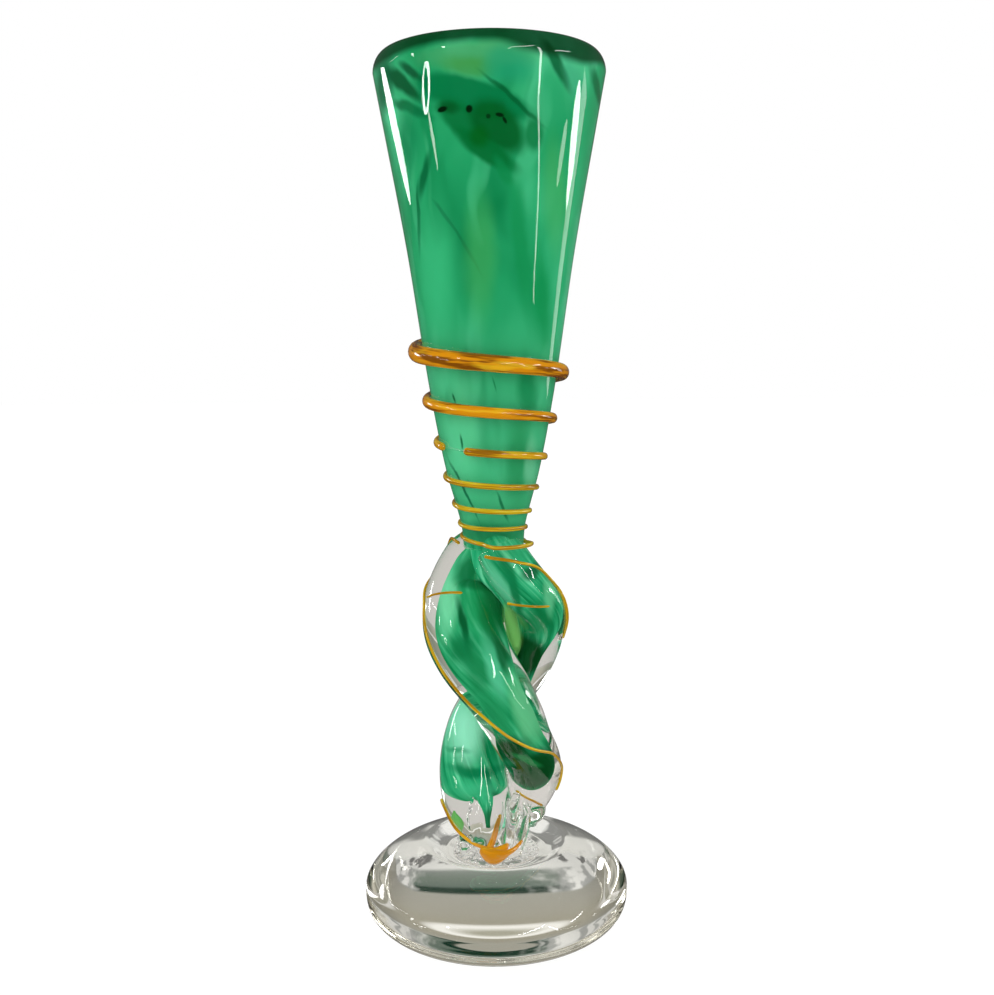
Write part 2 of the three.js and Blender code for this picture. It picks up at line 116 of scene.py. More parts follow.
def windows(values: np.ndarray, reach: int) -> np.ndarray:
    """Give each value's neighbours up to reach steps away, in rows that are moved step by step."""
    wide = np.pad(values, reach, mode="edge")
    return np.stack([wide[k : k + len(values)] for k in range(2 * reach + 1)])


def srgb(red: int, green: int, blue: int) -> Colour:
    """Turn a colour given as screen values from 0 to 255 into the linear one that shaders take."""
    shares = (c / 255 for c in (red, green, blue))
    return tuple(c / 12.92 if c <= 0.04045 else ((c + 0.055) / 1.055) ** 2.4 for c in shares)


@dataclass
class Surface:
    """A closed mesh in the making, in millimetres.

    It holds its points, its four- and three-sided faces, and where it has them a texture place for
    each corner of a face.
    """

    points: np.ndarray
    quads: np.ndarray
    tips: np.ndarray
    quad_places: np.ndarray | None = None
    tip_places: np.ndarray | None = None

    def volume(self) -> float:
        """Measure the signed volume, below zero where the faces look inwards.

        Returns:
            The volume in cubic millimetres.
        """
        corners = np.concatenate([self.quads[:, :3], self.quads[:, [0, 2, 3]], self.tips])
        a, b, c = (self.points[corners[:, k]] for k in range(3))
        return float(np.sum(a * np.cross(b, c))) / 6

    def facing_out(self) -> "Surface":
        """Turn every face round if the surface is inside out.

        Returns:
            The surface, facing out.
        """
        if self.volume() >= 0:
            return self
        return Surface(
            self.points,
            self.quads[:, ::-1],
            self.tips[:, ::-1],
            self.quad_places[:, ::-1],
            self.tip_places[:, ::-1],
        )

    def mesh(self, name: str) -> bpy.types.Object:
        """Make a smooth-shaded object of the surface, in metres.

        Args:
            name: the object's name.

        Returns:
            The new object, linked to the scene.
        """
        data = bpy.data.meshes.new(name)
        faces = self.quads.tolist() + self.tips.tolist()
        data.from_pydata((self.points * MM).tolist(), [], faces)
        if self.quad_places is not None:
            layer = data.uv_layers.new(name="path")
            places = np.concatenate([self.quad_places.reshape(-1), self.tip_places.reshape(-1)])
            layer.data.foreach_set("uv", places.astype(np.float32))
        data.shade_smooth()
        data.validate()
        made = bpy.data.objects.new(name, data)
        bpy.context.scene.collection.objects.link(made)
        return made


def skin(rings: np.ndarray, along: np.ndarray | None = None) -> Surface:
    """Close a surface over rings of points, with a pole at the middle of the first and last ring.

    Args:
        rings: an array of rings, each of as many points in millimetres.
        along: each ring's distance along the piece, for its texture place.

    Returns:
        The closed surface, facing out.
    """
    count, sides, _ = rings.shape
    along = np.arange(count, dtype=float) if along is None else along
    points = np.concatenate([rings.reshape(-1, 3), rings[:1].mean(1), rings[-1:].mean(1)])
    k = np.arange(sides)
    after = (k + 1) % sides
    row = np.arange(count - 1)[:, None] * sides
    quads = np.stack([row + k, row + after, row + sides + after, row + sides + k], -1)
    near, far = (k / sides)[None], ((k + 1) / sides)[None]
    here, there = along[:-1, None], along[1:, None]
    corners = [(near, here), (far, here), (far, there), (near, there)]
    quad_places = np.stack([np.stack(np.broadcast_arrays(u, v), -1) for u, v in corners], -2)
    tips, tip_places = [], []
    for pole, start, place, (one, other), offsets in (
        (count * sides, 0, along[0], (after, k), (0.5, 1, 0)),
        (count * sides + 1, (count - 1) * sides, along[-1], (k, after), (0.5, 0, 1)),
    ):
        tips.append(np.stack([np.full(sides, pole), start + one, start + other], -1))
        round_it = (k[:, None] + np.array(offsets)) / sides
        tip_places.append(np.stack([round_it, np.full((sides, 3), place)], -1))
    return Surface(
        points,
        quads.reshape(-1, 4),
        np.concatenate(tips),
        quad_places.reshape(-1, 4, 2),
        np.concatenate(tip_places),
    ).facing_out()


def lathe(radii: np.ndarray, heights: np.ndarray, sides: int) -> np.ndarray:
    """Turn a profile about the Z axis.

    Args:
        radii: the profile's radius at each of its points.
        heights: the height of each.
        sides: how many points go round.

    Returns:
        The rings of points.
    """
    turn = np.arange(sides) * 2 * math.pi / sides
    rings = np.empty((len(radii), sides, 3))
    rings[:, :, 0] = np.outer(radii, np.cos(turn))
    rings[:, :, 1] = np.outer(radii, np.sin(turn))
    rings[:, :, 2] = np.asarray(heights)[:, None]
    return rings


def tube(centres: np.ndarray, across: np.ndarray, side: np.ndarray, sides: int) -> np.ndarray:
    """Put an ellipse of points round each centre.

    Args:
        centres: the tube's centreline.
        across: one half-axis of each ellipse.
        side: the other half-axis.
        sides: how many points go round.

    Returns:
        The rings of points.
    """
    turn = np.arange(sides) * 2 * math.pi / sides
    cos, sin = np.cos(turn)[None, :, None], np.sin(turn)[None, :, None]
    return centres[:, None] + across[:, None] * cos + side[:, None] * sin


def lengths(centres: np.ndarray) -> np.ndarray:
    """Measure the distance along a centreline to each of its points."""
    steps = np.linalg.norm(np.diff(centres, axis=0), axis=1)
    return np.concatenate([[0], np.cumsum(steps)])


def baked(made: bpy.types.Object) -> bpy.types.Object:
    """Keep an object's mesh as its modifiers leave it, and take the modifiers off.

    Args:
        made: the object.

    Returns:
        The same object.
    """
    bpy.context.view_layer.update()
    graph = bpy.context.evaluated_depsgraph_get()
    data = bpy.data.meshes.new_from_object(made.evaluated_get(graph))
    made.modifiers.clear()
    made.data = data
    data.shade_smooth()
    return made


def fuse(name: str, surfaces: list[Surface], grain: float, rounds: int) -> bpy.types.Object:
    """Melt closed surfaces that run into each other into one smooth skin.

    Args:
        name: the object's name.
        surfaces: the closed surfaces, in millimetres.
        grain: the size of the faces of the new skin, in millimetres.
        rounds: how many times the skin is smoothed.

    Returns:
        The new object, linked to the scene.
    """
    starts = np.cumsum([0] + [len(surface.points) for surface in surfaces])
    together = Surface(
        np.concatenate([surface.points for surface in surfaces]),
        np.concatenate([s.quads + start for s, start in zip(surfaces, starts)]),
        np.concatenate([s.tips + start for s, start in zip(surfaces, starts)]),
    )
    made = together.mesh(name)
    remesh = made.modifiers.new("melt", "REMESH")
    remesh.mode = "VOXEL"
    remesh.voxel_size = grain * MM
    if rounds:
        smooth = made.modifiers.new("settle", "SMOOTH")
        smooth.factor = 0.5
        smooth.iterations = rounds
    return baked(made)


class Meeting(Enum):
    """What a second object does to the first one that it meets."""

    FILLS = "UNION"
    HOLLOWS = "DIFFERENCE"


def unite(
    made: bpy.types.Object, other: bpy.types.Object, meeting: Meeting = Meeting.FILLS
) -> bpy.types.Object:
    """Join another closed object into a first one, or cut it out, and remove it.

    Args:
        made: the object that is kept.
        other: the object that is joined in or cut out.
        meeting: which of the two is done.

    Returns:
        The object that is kept.
    """
    join = made.modifiers.new("join", "BOOLEAN")
    join.operation = meeting.value
    join.solver = "MANIFOLD"
    join.object = other
    baked(made)
    bpy.data.objects.remove(other)
    return made


def ball(
    middle: tuple[float, float, float],
    radius: float,
    sides: int = 20,
    stretch: tuple[float, float, float] = (1.0, 1.0, 1.0),
) -> Surface:
    """Make a ball, or an egg where it is stretched, in millimetres.

    Args:
        middle: where its middle is.
        radius: its radius before it is stretched.
        sides: how many points go round.
        stretch: how many times it is drawn out each way.

    Returns:
        The closed surface.
    """
    polar = 0.08
    turn = np.linspace(polar, math.pi - polar, sides // 2)
    rings = lathe(np.sin(turn) * radius, -np.cos(turn) * radius, sides)
    return skin(rings * np.array(stretch) + np.array(middle))


def dress(
    made: bpy.types.Object, nodes: tuple[str, ...], slot: str, *finishes: bpy.types.Material
) -> bpy.types.Object:
    """Give a piece its finishes, and say which nodes of the frame it stands for.

    Args:
        made: the piece.
        nodes: the frame's nodes that it replaces.
        slot: its material in the part's record; not used.
        finishes: its materials.

    Returns:
        The piece.
    """
    made.data.materials.clear()
    for finish in finishes:
        made.data.materials.append(finish)
    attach(made, "root")
    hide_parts(*nodes)
    log.info("%s for %s", made.name, ", ".join(nodes))
    return made


class Sock:
    """A shader socket that works in arithmetic: each operator adds a node to its tree."""

    def __init__(self, tree: "Tree", socket: bpy.types.NodeSocket) -> None:
        """Keep the tree that the socket belongs to."""
        self.tree = tree
        self.socket = socket

    @property
    def is_vector(self) -> bool:
        """Say whether the socket holds three numbers."""
        return self.socket.type in {"VECTOR", "RGBA"}

    def _join(self, operation: str, first: "Sock | float", second: "Sock | float") -> "Sock":
        """Add a Math node, or a Vector Math node where either side is a vector.

        Args:
            operation: what the node does.
            first: its first value.
            second: its second value.

        Returns:
            The result.
        """
        vector = any(isinstance(x, Sock) and x.is_vector for x in (first, second))
        kind = "ShaderNodeVectorMath" if vector else "ShaderNodeMath"
        if vector:
            first, second = (
                x if isinstance(x, (Sock, tuple)) else (x, x, x) for x in (first, second)
            )
        return self.tree.node(kind, {"operation": operation}, {0: first, 1: second}).out(0)

    def __add__(self, other: "Sock | float") -> "Sock":
        """Add."""
        return self._join("ADD", self, other)

    def __radd__(self, other: float) -> "Sock":
        """Add, from the right."""
        return self._join("ADD", other, self)

    def __sub__(self, other: "Sock | float") -> "Sock":
        """Take away."""
        return self._join("SUBTRACT", self, other)

    def __rsub__(self, other: float) -> "Sock":
        """Take away from a number."""
        return self._join("SUBTRACT", other, self)

    def __mul__(self, other: "Sock | float") -> "Sock":
        """Multiply."""
        return self._join("MULTIPLY", self, other)

    def __rmul__(self, other: float) -> "Sock":
        """Multiply, from the right."""
        return self._join("MULTIPLY", other, self)

    def __truediv__(self, other: "Sock | float") -> "Sock":
        """Divide."""
        return self._join("DIVIDE", self, other)

    def at_least(self, other: "Sock | float") -> "Sock":
        """Take the larger of two values."""
        return self._join("MAXIMUM", self, other)

    def between(self, low: float, high: float, start: float = 0, end: float = 1) -> "Sock":
        """Rise smoothly from start at low to end at high.

        Args:
            low: the value at which the rise starts.
            high: the value at which it ends.
            start: the result up to low.
            end: the result from high on.

        Returns:
            The eased value.
        """
        settings = {"interpolation_type": "SMOOTHSTEP"}
        sockets = {"Value": self, "From Min": low, "From Max": high, "To Min": start, "To Max": end}
        return self.tree.node("ShaderNodeMapRange", settings, sockets).out("Result")


class Node:
    """A shader node with its outputs at hand as sockets that work in arithmetic."""

    def __init__(self, tree: "Tree", made: bpy.types.Node) -> None:
        """Keep the node and its tree."""
        self.tree = tree
        self.made = made

    def out(self, name: str | int) -> Sock:
        """Give one output by its name or place."""
        return Sock(self.tree, self.made.outputs[name])


class Tree:
    """The node tree of a material or a world, with one method that adds any node."""

    def __init__(self, owner: bpy.types.Material | bpy.types.World) -> None:
        """Empty the owner's tree.

        Args:
            owner: the material or world.
        """
        owner.use_nodes = True
        self.is_world = isinstance(owner, bpy.types.World)
        self.nodes = owner.node_tree.nodes
        self.links = owner.node_tree.links
        self.nodes.clear()

    def node(self, kind: str, settings: dict | None = None, sockets: dict | None = None) -> Node:
        """Add a node.

        Args:
            kind: the node's type.
            settings: its own properties, set first; "stops" are a ramp's places and colours.
            sockets: a value, or a socket to link, for each input by name or place.

        Returns:
            The new node.
        """
        made = self.nodes.new(kind)
        for name, value in (settings or {}).items():
            if name == "stops":
                self._set_stops(made.color_ramp, value)
            else:
                setattr(made, name, value)
        for name, value in (sockets or {}).items():
            put = made.inputs[name]
            if isinstance(value, Sock):
                self.links.new(value.socket, put)
            elif put.type == "RGBA":
                put.default_value = (*value, 1)
            else:
                put.default_value = value
        return Node(self, made)

    @staticmethod
    def _set_stops(ramp: bpy.types.ColorRamp, stops: list[tuple[float, Colour]]) -> None:
        """Give a ramp its places and colours.

        Args:
            ramp: the ramp.
            stops: its places from 0 to 1 with their colours.
        """
        while len(ramp.elements) < len(stops):
            ramp.elements.new(1)
        for element, (place, colour) in zip(ramp.elements, stops, strict=True):
            element.position = place
            element.color = (*colour, 1)

    def mix(self, share: Sock | float, first: Sock | Colour, second: Sock | Colour) -> Sock:
        """Blend two colours by a share from 0 to 1."""
        sockets = {0: share, 6: first, 7: second}
        return self.node("ShaderNodeMix", {"data_type": "RGBA"}, sockets).out(2)

    def noise(self, places: Sock, scale: float, detail: float = 2, **more: float) -> Node:
        """Add a noise texture at a scale in features per metre."""
        sockets = {"Vector": places, "Scale": scale, "Detail": detail, **more}
        return self.node("ShaderNodeTexNoise", {"noise_dimensions": "3D"}, sockets)

    def path(self, turns: float, length: float) -> Sock:
        """Give a place on a tube that has no seam, from the tube's texture places.

        Args:
            turns: how many features go round it, about three times over.
            length: the length of a feature along it, in millimetres.

        Returns:
            The place, for a noise of scale 1.
        """
        split = self.split(self.places("UV"))
        turn = split.out("X") * (2 * math.pi)
        across, over = self.math("COSINE", turn), self.math("SINE", turn)
        sockets = {"X": across * turns, "Y": over * turns, "Z": split.out("Y") / length}
        return self.node("ShaderNodeCombineXYZ", {}, sockets).out(0)

    def light_path(self) -> Node:
        """Add the node that tells the kinds of rays apart."""
        return self.node("ShaderNodeLightPath")

    def places(self, kind: str = "Object") -> Sock:
        """Give the places on the object, or another kind of texture coordinate."""
        return self.node("ShaderNodeTexCoord").out(kind)

    def split(self, vector: Sock) -> Node:
        """Take a vector apart into X, Y and Z."""
        return self.node("ShaderNodeSeparateXYZ", {}, {0: vector})

    def math(self, operation: str, value: Sock) -> Sock:
        """Work out a function of one number."""
        return self.node("ShaderNodeMath", {"operation": operation}, {0: value}).out(0)

    def length(self, vector: Sock) -> Sock:
        """Measure a vector."""
        return self.node("ShaderNodeVectorMath", {"operation": "LENGTH"}, {0: vector}).out("Value")

    def finish(self, surface: Sock, **more: Sock) -> None:
        """Send a shader to the output."""
        owner = "ShaderNodeOutputWorld" if self.is_world else "ShaderNodeOutputMaterial"
        self.node(owner, {}, {"Surface": surface, **more})

    def choose(self, share: Sock | float, first: Sock, second: Sock) -> Sock:
        """Blend two shaders by a share from 0 to 1."""
        return self.node("ShaderNodeMixShader", {}, {0: share, 1: first, 2: second}).out(0)


class Side(Enum):
    """Which surface of green glass is finished: one that clear glass covers, or a bare one."""

    CASED = "cased"
    BARE = "bare"


@dataclass(frozen=True)
class ClearGlass:
    """Solid clear glass with a faint warm grey in its thickness."""

    name: str = "clear_glass"
    refraction: float = 1.5
    tint: Colour = srgb(240, 237, 222)
    density: float = 6.0
    lamp_share: Colour = (0.93, 0.93, 0.92)
    ripple_scale: float = 55.0
    ripple: float = 0.00004
    ripple_strength: float = 0.35

    def material(self) -> bpy.types.Material:
        """Build the material; lamp rays pass straight through it to what lies inside.

        Returns:
            The material.
        """
        made = bpy.data.materials.new(self.name)
        tree = Tree(made)
        wave = tree.noise(tree.places(), self.ripple_scale, 1).out("Fac")
        ripples = {"Strength": self.ripple_strength, "Distance": self.ripple, "Height": wave}
        bump = tree.node("ShaderNodeBump", {}, ripples)
        glass = tree.node(
            "ShaderNodeBsdfPrincipled",
            {},
            {
                "Base Color": WHITE,
                "Roughness": 0.0,
                "IOR": self.refraction,
                "Transmission Weight": 1.0,
                "Normal": bump.out("Normal"),
            },
        )
        clear = tree.node("ShaderNodeBsdfTransparent", {}, {"Color": self.lamp_share})
        rays = tree.light_path()
        lighting = rays.out("Is Shadow Ray").at_least(rays.out("Is Diffuse Ray"))
        look = tree.choose(lighting, glass.out(0), clear.out(0))
        body = tree.node(
            "ShaderNodeVolumeAbsorption", {}, {"Color": self.tint, "Density": self.density}
        )
        tree.finish(look, Volume=body.out(0))
        return made


@dataclass(frozen=True)
class Patch:
    """A soft patch of another green; a few of the cores' patches are painted shade, and one is
    painted light.

    It has a middle and a half width and half height in millimetres, a lean to the right at its top
    in degrees, a colour, a strength and a softness of its edge. A loose one is frayed.
    """

    middle: tuple[float, float, float]
    half: tuple[float, float]
    lean: float
    colour: Colour
    strength: float = 1.0
    edge: float = 0.45
    loose: bool = True


def patches(rows: tuple[tuple[float, ...], ...], loose: bool = True) -> tuple[Patch, ...]:
    """Read a table of patches.

    Args:
        rows: for each patch the X, Y and Z of its middle, its half width and half height, its lean,
            its red, green and blue on screen, its strength and its softness.
        loose: whether the patches are frayed.

    Returns:
        The patches.
    """
    return tuple(
        Patch((x, y, z), (wide, tall), lean, srgb(red, green, blue), strength, softness, loose)
        for x, y, z, wide, tall, lean, red, green, blue, strength, softness in rows
    )


# Clouds, wisps and pale patches of the bowl's front, and the dark specks under its lip.
BOWL_PATCHES = patches(
    (
        (-2.6, -35.9, 292.0, 3.8, 16.5, 90, 78, 176, 112, 0.8, 0.5),
        (-5.7, -35.0, 288.8, 2.9, 8.3, 97, 66, 158, 72, 0.75, 0.5),
        (5.8, -34.9, 288.7, 7.0, 5.1, 0, 34, 166, 118, 0.7, 0.5),
        (-4.6, -33.6, 280.3, 4.8, 18.4, -73, 2, 128, 72, 0.97, 0.22),
        (-7.8, -31.7, 273.3, 4.1, 9.5, -52, 2, 118, 58, 0.92, 0.3),
        (2.3, -32.2, 271.7, 6.0, 9.8, -50, 0, 98, 38, 0.95, 0.3),
        (-1.1, -31.1, 265.0, 3.2, 10.8, -56, 0, 114, 52, 0.95, 0.3),
        (13.4, -28.9, 269.4, 2.5, 4.8, 8, 8, 128, 68, 0.85, 0.4),
        (4.1, -29.6, 258.6, 1.6, 4.8, -30, 12, 142, 78, 0.8, 0.5),
        (7.0, -33.0, 279.7, 0.7, 10.8, -51, 0, 98, 50, 0.8, 0.5),
        (-3.2, -31.7, 269.1, 2.9, 2.9, 0, 0, 100, 22, 0.75, 0.6),
        (0.8, -33.1, 276.0, 1.6, 5.4, -70, 0, 100, 38, 0.6, 0.6),
        (-12.9, -30.8, 277.7, 1.6, 2.9, -80, 0, 84, 30, 0.75, 0.6),
        (-26.6, -22.5, 285.7, 1.9, 9.8, -48, 0, 88, 46, 0.95, 0.4),
        (-23.2, -26.7, 288.4, 1.3, 5.1, -60, 0, 74, 40, 0.85, 0.5),
        (-24.2, -23.3, 278.6, 1.3, 7.6, -62, 2, 108, 60, 0.85, 0.5),
        (-19.7, -22.4, 258.0, 1.2, 6.7, 10, 4, 108, 62, 0.95, 0.5),
        (-22.2, -16.5, 245.6, 0.6, 10.2, 3, 4, 106, 62, 0.95, 0.5),
        (-13.4, -24.1, 245.1, 0.5, 6.3, -32, 6, 116, 68, 0.95, 0.5),
        (-7.5, -24.7, 235.1, 0.5, 8.3, -30, 8, 120, 70, 0.95, 0.5),
        (-17.7, -17.4, 228.7, 6.3, 17.8, 0, 64, 202, 136, 0.6, 0.7),
        (-3.4, -25.2, 232.5, 4.4, 17.5, 0, 68, 180, 100, 0.6, 0.6),
        (9.9, -23.8, 235.0, 2.5, 21.0, -8, 16, 150, 84, 0.75, 0.6),
        (16.1, -17.1, 219.5, 2.5, 14.0, -4, 8, 150, 80, 0.75, 0.6),
        (19.9, -20.8, 252.3, 3.5, 15.9, -3, 70, 182, 104, 0.6, 0.6),
        (-9.0, -13.0, 178.0, 5.0, 17.0, 0, 100, 222, 162, 0.75, 0.6),
        (8.0, -11.0, 168.0, 4.0, 15.0, 0, 26, 146, 82, 0.65, 0.6),
        (-8.4, -9.5, 157.0, 0.4, 11.0, -22, 6, 104, 66, 0.85, 0.5),
        (3.4, -11.0, 151.5, 0.4, 5.0, -20, 6, 108, 66, 0.8, 0.5),
        (-12.0, -15.0, 188.5, 0.4, 1.6, -20, 4, 96, 56, 0.85, 0.5),
        (-10.0, -13.0, 174.0, 0.35, 2.2, -10, 4, 96, 56, 0.85, 0.5),
        (0.6, -17.0, 193.5, 0.35, 2.4, -15, 14, 130, 76, 0.7, 0.5),
        (12.6, -7.0, 166.0, 1.8, 9.0, 0, 120, 216, 168, 0.7, 0.6),
        (11.0, -14.0, 192.0, 2.6, 9.0, 0, 6, 142, 80, 0.75, 0.6),
        (0.0, -8.0, 141.0, 9.0, 4.5, 0, 18, 136, 82, 0.75, 0.6),
        (-33.5, -16.0, 286.5, 3.6, 8.5, 10, 0, 98, 56, 0.85, 0.5),
        (20.2, -29.3, 290.1, 1.9, 7.9, -38, 4, 102, 56, 0.9, 0.4),
        (33.4, -11.2, 287.6, 1.6, 7.6, -25, 6, 110, 62, 0.8, 0.5),
        (25.8, -23.9, 287.4, 2.9, 6.3, -30, 66, 182, 134, 0.6, 0.6),
        (-24.9, -20.0, 269.4, 4.4, 8.6, 8, 4, 134, 80, 0.7, 0.6),
    )
) + patches(
    (
        (-14.1, -30.2, 277.1, 0.8, 1.5, 80, 0, 30, 6, 1, 0.3),
        (-6.0, -32.7, 276.7, 1.0, 1.1, 0, 0, 32, 6, 1, 0.3),
        (-0.3, -32.8, 274.5, 0.7, 0.7, 0, 0, 50, 16, 0.9, 0.3),
        (3.1, -32.7, 274.9, 0.6, 1.3, -80, 0, 36, 8, 1, 0.3),
        (4.6, -32.3, 273.4, 0.5, 1.1, -30, 0, 40, 10, 1, 0.3),
    ),
    loose=False,
)

# Pale and dark patches on the two cores' fronts. The dark lines at the left core's arch, crease and
# lobe edge and the near-black patches on both cores are painted shade, and the pale yellow-green
# patch on the right core's veil is painted light seen through the gap.
LEFT_CORE_PATCHES_AND_PAINTED_SHADE = patches(
    (
        (-14.4, -0.5, 118.0, 2.4, 12.4, 0, 128, 238, 184, 0.85, 0.55),
        (-12.0, 3.3, 126.7, 3.3, 5.0, 28, 84, 208, 152, 0.7, 0.6),
        (-9.0, 0.2, 126.7, 2.4, 5.8, 22, 6, 116, 64, 0.85, 0.5),
        # Painted shade: the dark line of the arch where the front lobe tucks under the neck.
        (-4.9, -1.5, 122.2, 5.1, 1.4, 6, 0, 84, 40, 0.95, 0.5),
        (-6.1, -4.9, 114.5, 5.1, 8.3, 0, 24, 152, 86, 0.7, 0.6),
        (-2.4, -1.6, 112.4, 3.4, 11.7, -4, 8, 108, 50, 0.9, 0.55),
        # Painted shade: the dark crease between the left lobe and the sheet.
        (-10.0, -8.7, 108.9, 1.0, 9.1, -14, 0, 90, 46, 0.95, 0.5),
        (-9.8, -11.7, 102.2, 3.9, 4.6, -26, 4, 124, 70, 0.85, 0.6),
        (-5.5, -15.2, 94.8, 3.3, 7.0, -23, 22, 136, 80, 0.75, 0.6),
        (-0.4, -14.7, 94.8, 2.1, 9.9, -19, 88, 202, 154, 0.8, 0.55),
        # Painted shade: the dark line along the front lobe's right edge.
        (0.9, -8.5, 99.1, 0.9, 7.4, -22, 4, 92, 44, 0.85, 0.5),
        (1.4, -16.6, 80.6, 3.0, 7.4, -26, 34, 154, 96, 0.65, 0.6),
        (8.8, -15.3, 81.7, 2.7, 10.8, -20, 112, 210, 152, 0.75, 0.6),
        # Painted shade: the next two near-black patches darken the left core's lower end, where
        # thick green glass gets no light from behind.
        (4.9, -11.8, 68.4, 6.0, 5.9, -50, 0, 62, 12, 0.97, 0.4),
        (13.4, -7.7, 58.7, 8.3, 9.3, 0, 0, 70, 24, 0.97, 0.4),
        (11.2, -11.2, 64.1, 1.0, 5.9, -48, 26, 132, 68, 0.9, 0.4),
    )
)
RIGHT_CORE_PATCHES_AND_PAINTED_LIGHT_AND_SHADE = patches(
    (
        (3.2, -9.5, 124.6, 1.8, 9.1, -28, 104, 210, 164, 0.8, 0.5),
        (7.4, -11.4, 122.2, 1.2, 10.8, -18, 8, 122, 70, 0.85, 0.5),
        (4.9, -12.9, 129.2, 1.8, 5.8, -22, 14, 134, 80, 0.75, 0.5),
        (11.1, -9.7, 128.1, 2.7, 2.1, -14, 14, 84, 44, 0.8, 0.6),
        (13.9, -5.3, 111.0, 4.5, 7.4, 7, 14, 122, 68, 0.8, 0.6),
        # Painted shade: a near-black patch where thick green glass gets no light from behind.
        (11.4, 3.0, 96.9, 6.7, 9.3, 0, 0, 60, 14, 0.98, 0.4),
        (16.9, -6.6, 119.7, 1.2, 5.8, -10, 112, 216, 162, 0.7, 0.6),
        (-9.7, 3.1, 68.4, 5.1, 9.9, 0, 160, 252, 214, 0.9, 0.6),
        (-7.0, -3.5, 56.9, 7.8, 1.7, 1, 4, 128, 78, 0.92, 0.5),
        (-11.2, 1.5, 62.7, 4.2, 1.2, -8, 14, 146, 92, 0.8, 0.5),
        (-2.5, -3.7, 51.8, 0.9, 5.0, -7, 0, 80, 44, 0.85, 0.5),
        (-6.4, -5.7, 51.1, 6.0, 3.3, 0, 70, 206, 148, 0.7, 0.6),
        # Painted light: the pale yellow-green of the bright surround seen through the gap between
        # the strands, painted on the veil.
        (5.6, 2.5, 106.5, 4.2, 9.5, -6, 128, 204, 108, 0.95, 0.3),
        (-11.0, -5.5, 41.0, 3.0, 4.4, 0, 118, 190, 100, 0.9, 0.4),
        (-4.0, -6.0, 40.0, 2.4, 5.0, 0, 30, 120, 76, 0.9, 0.4),
    )
)


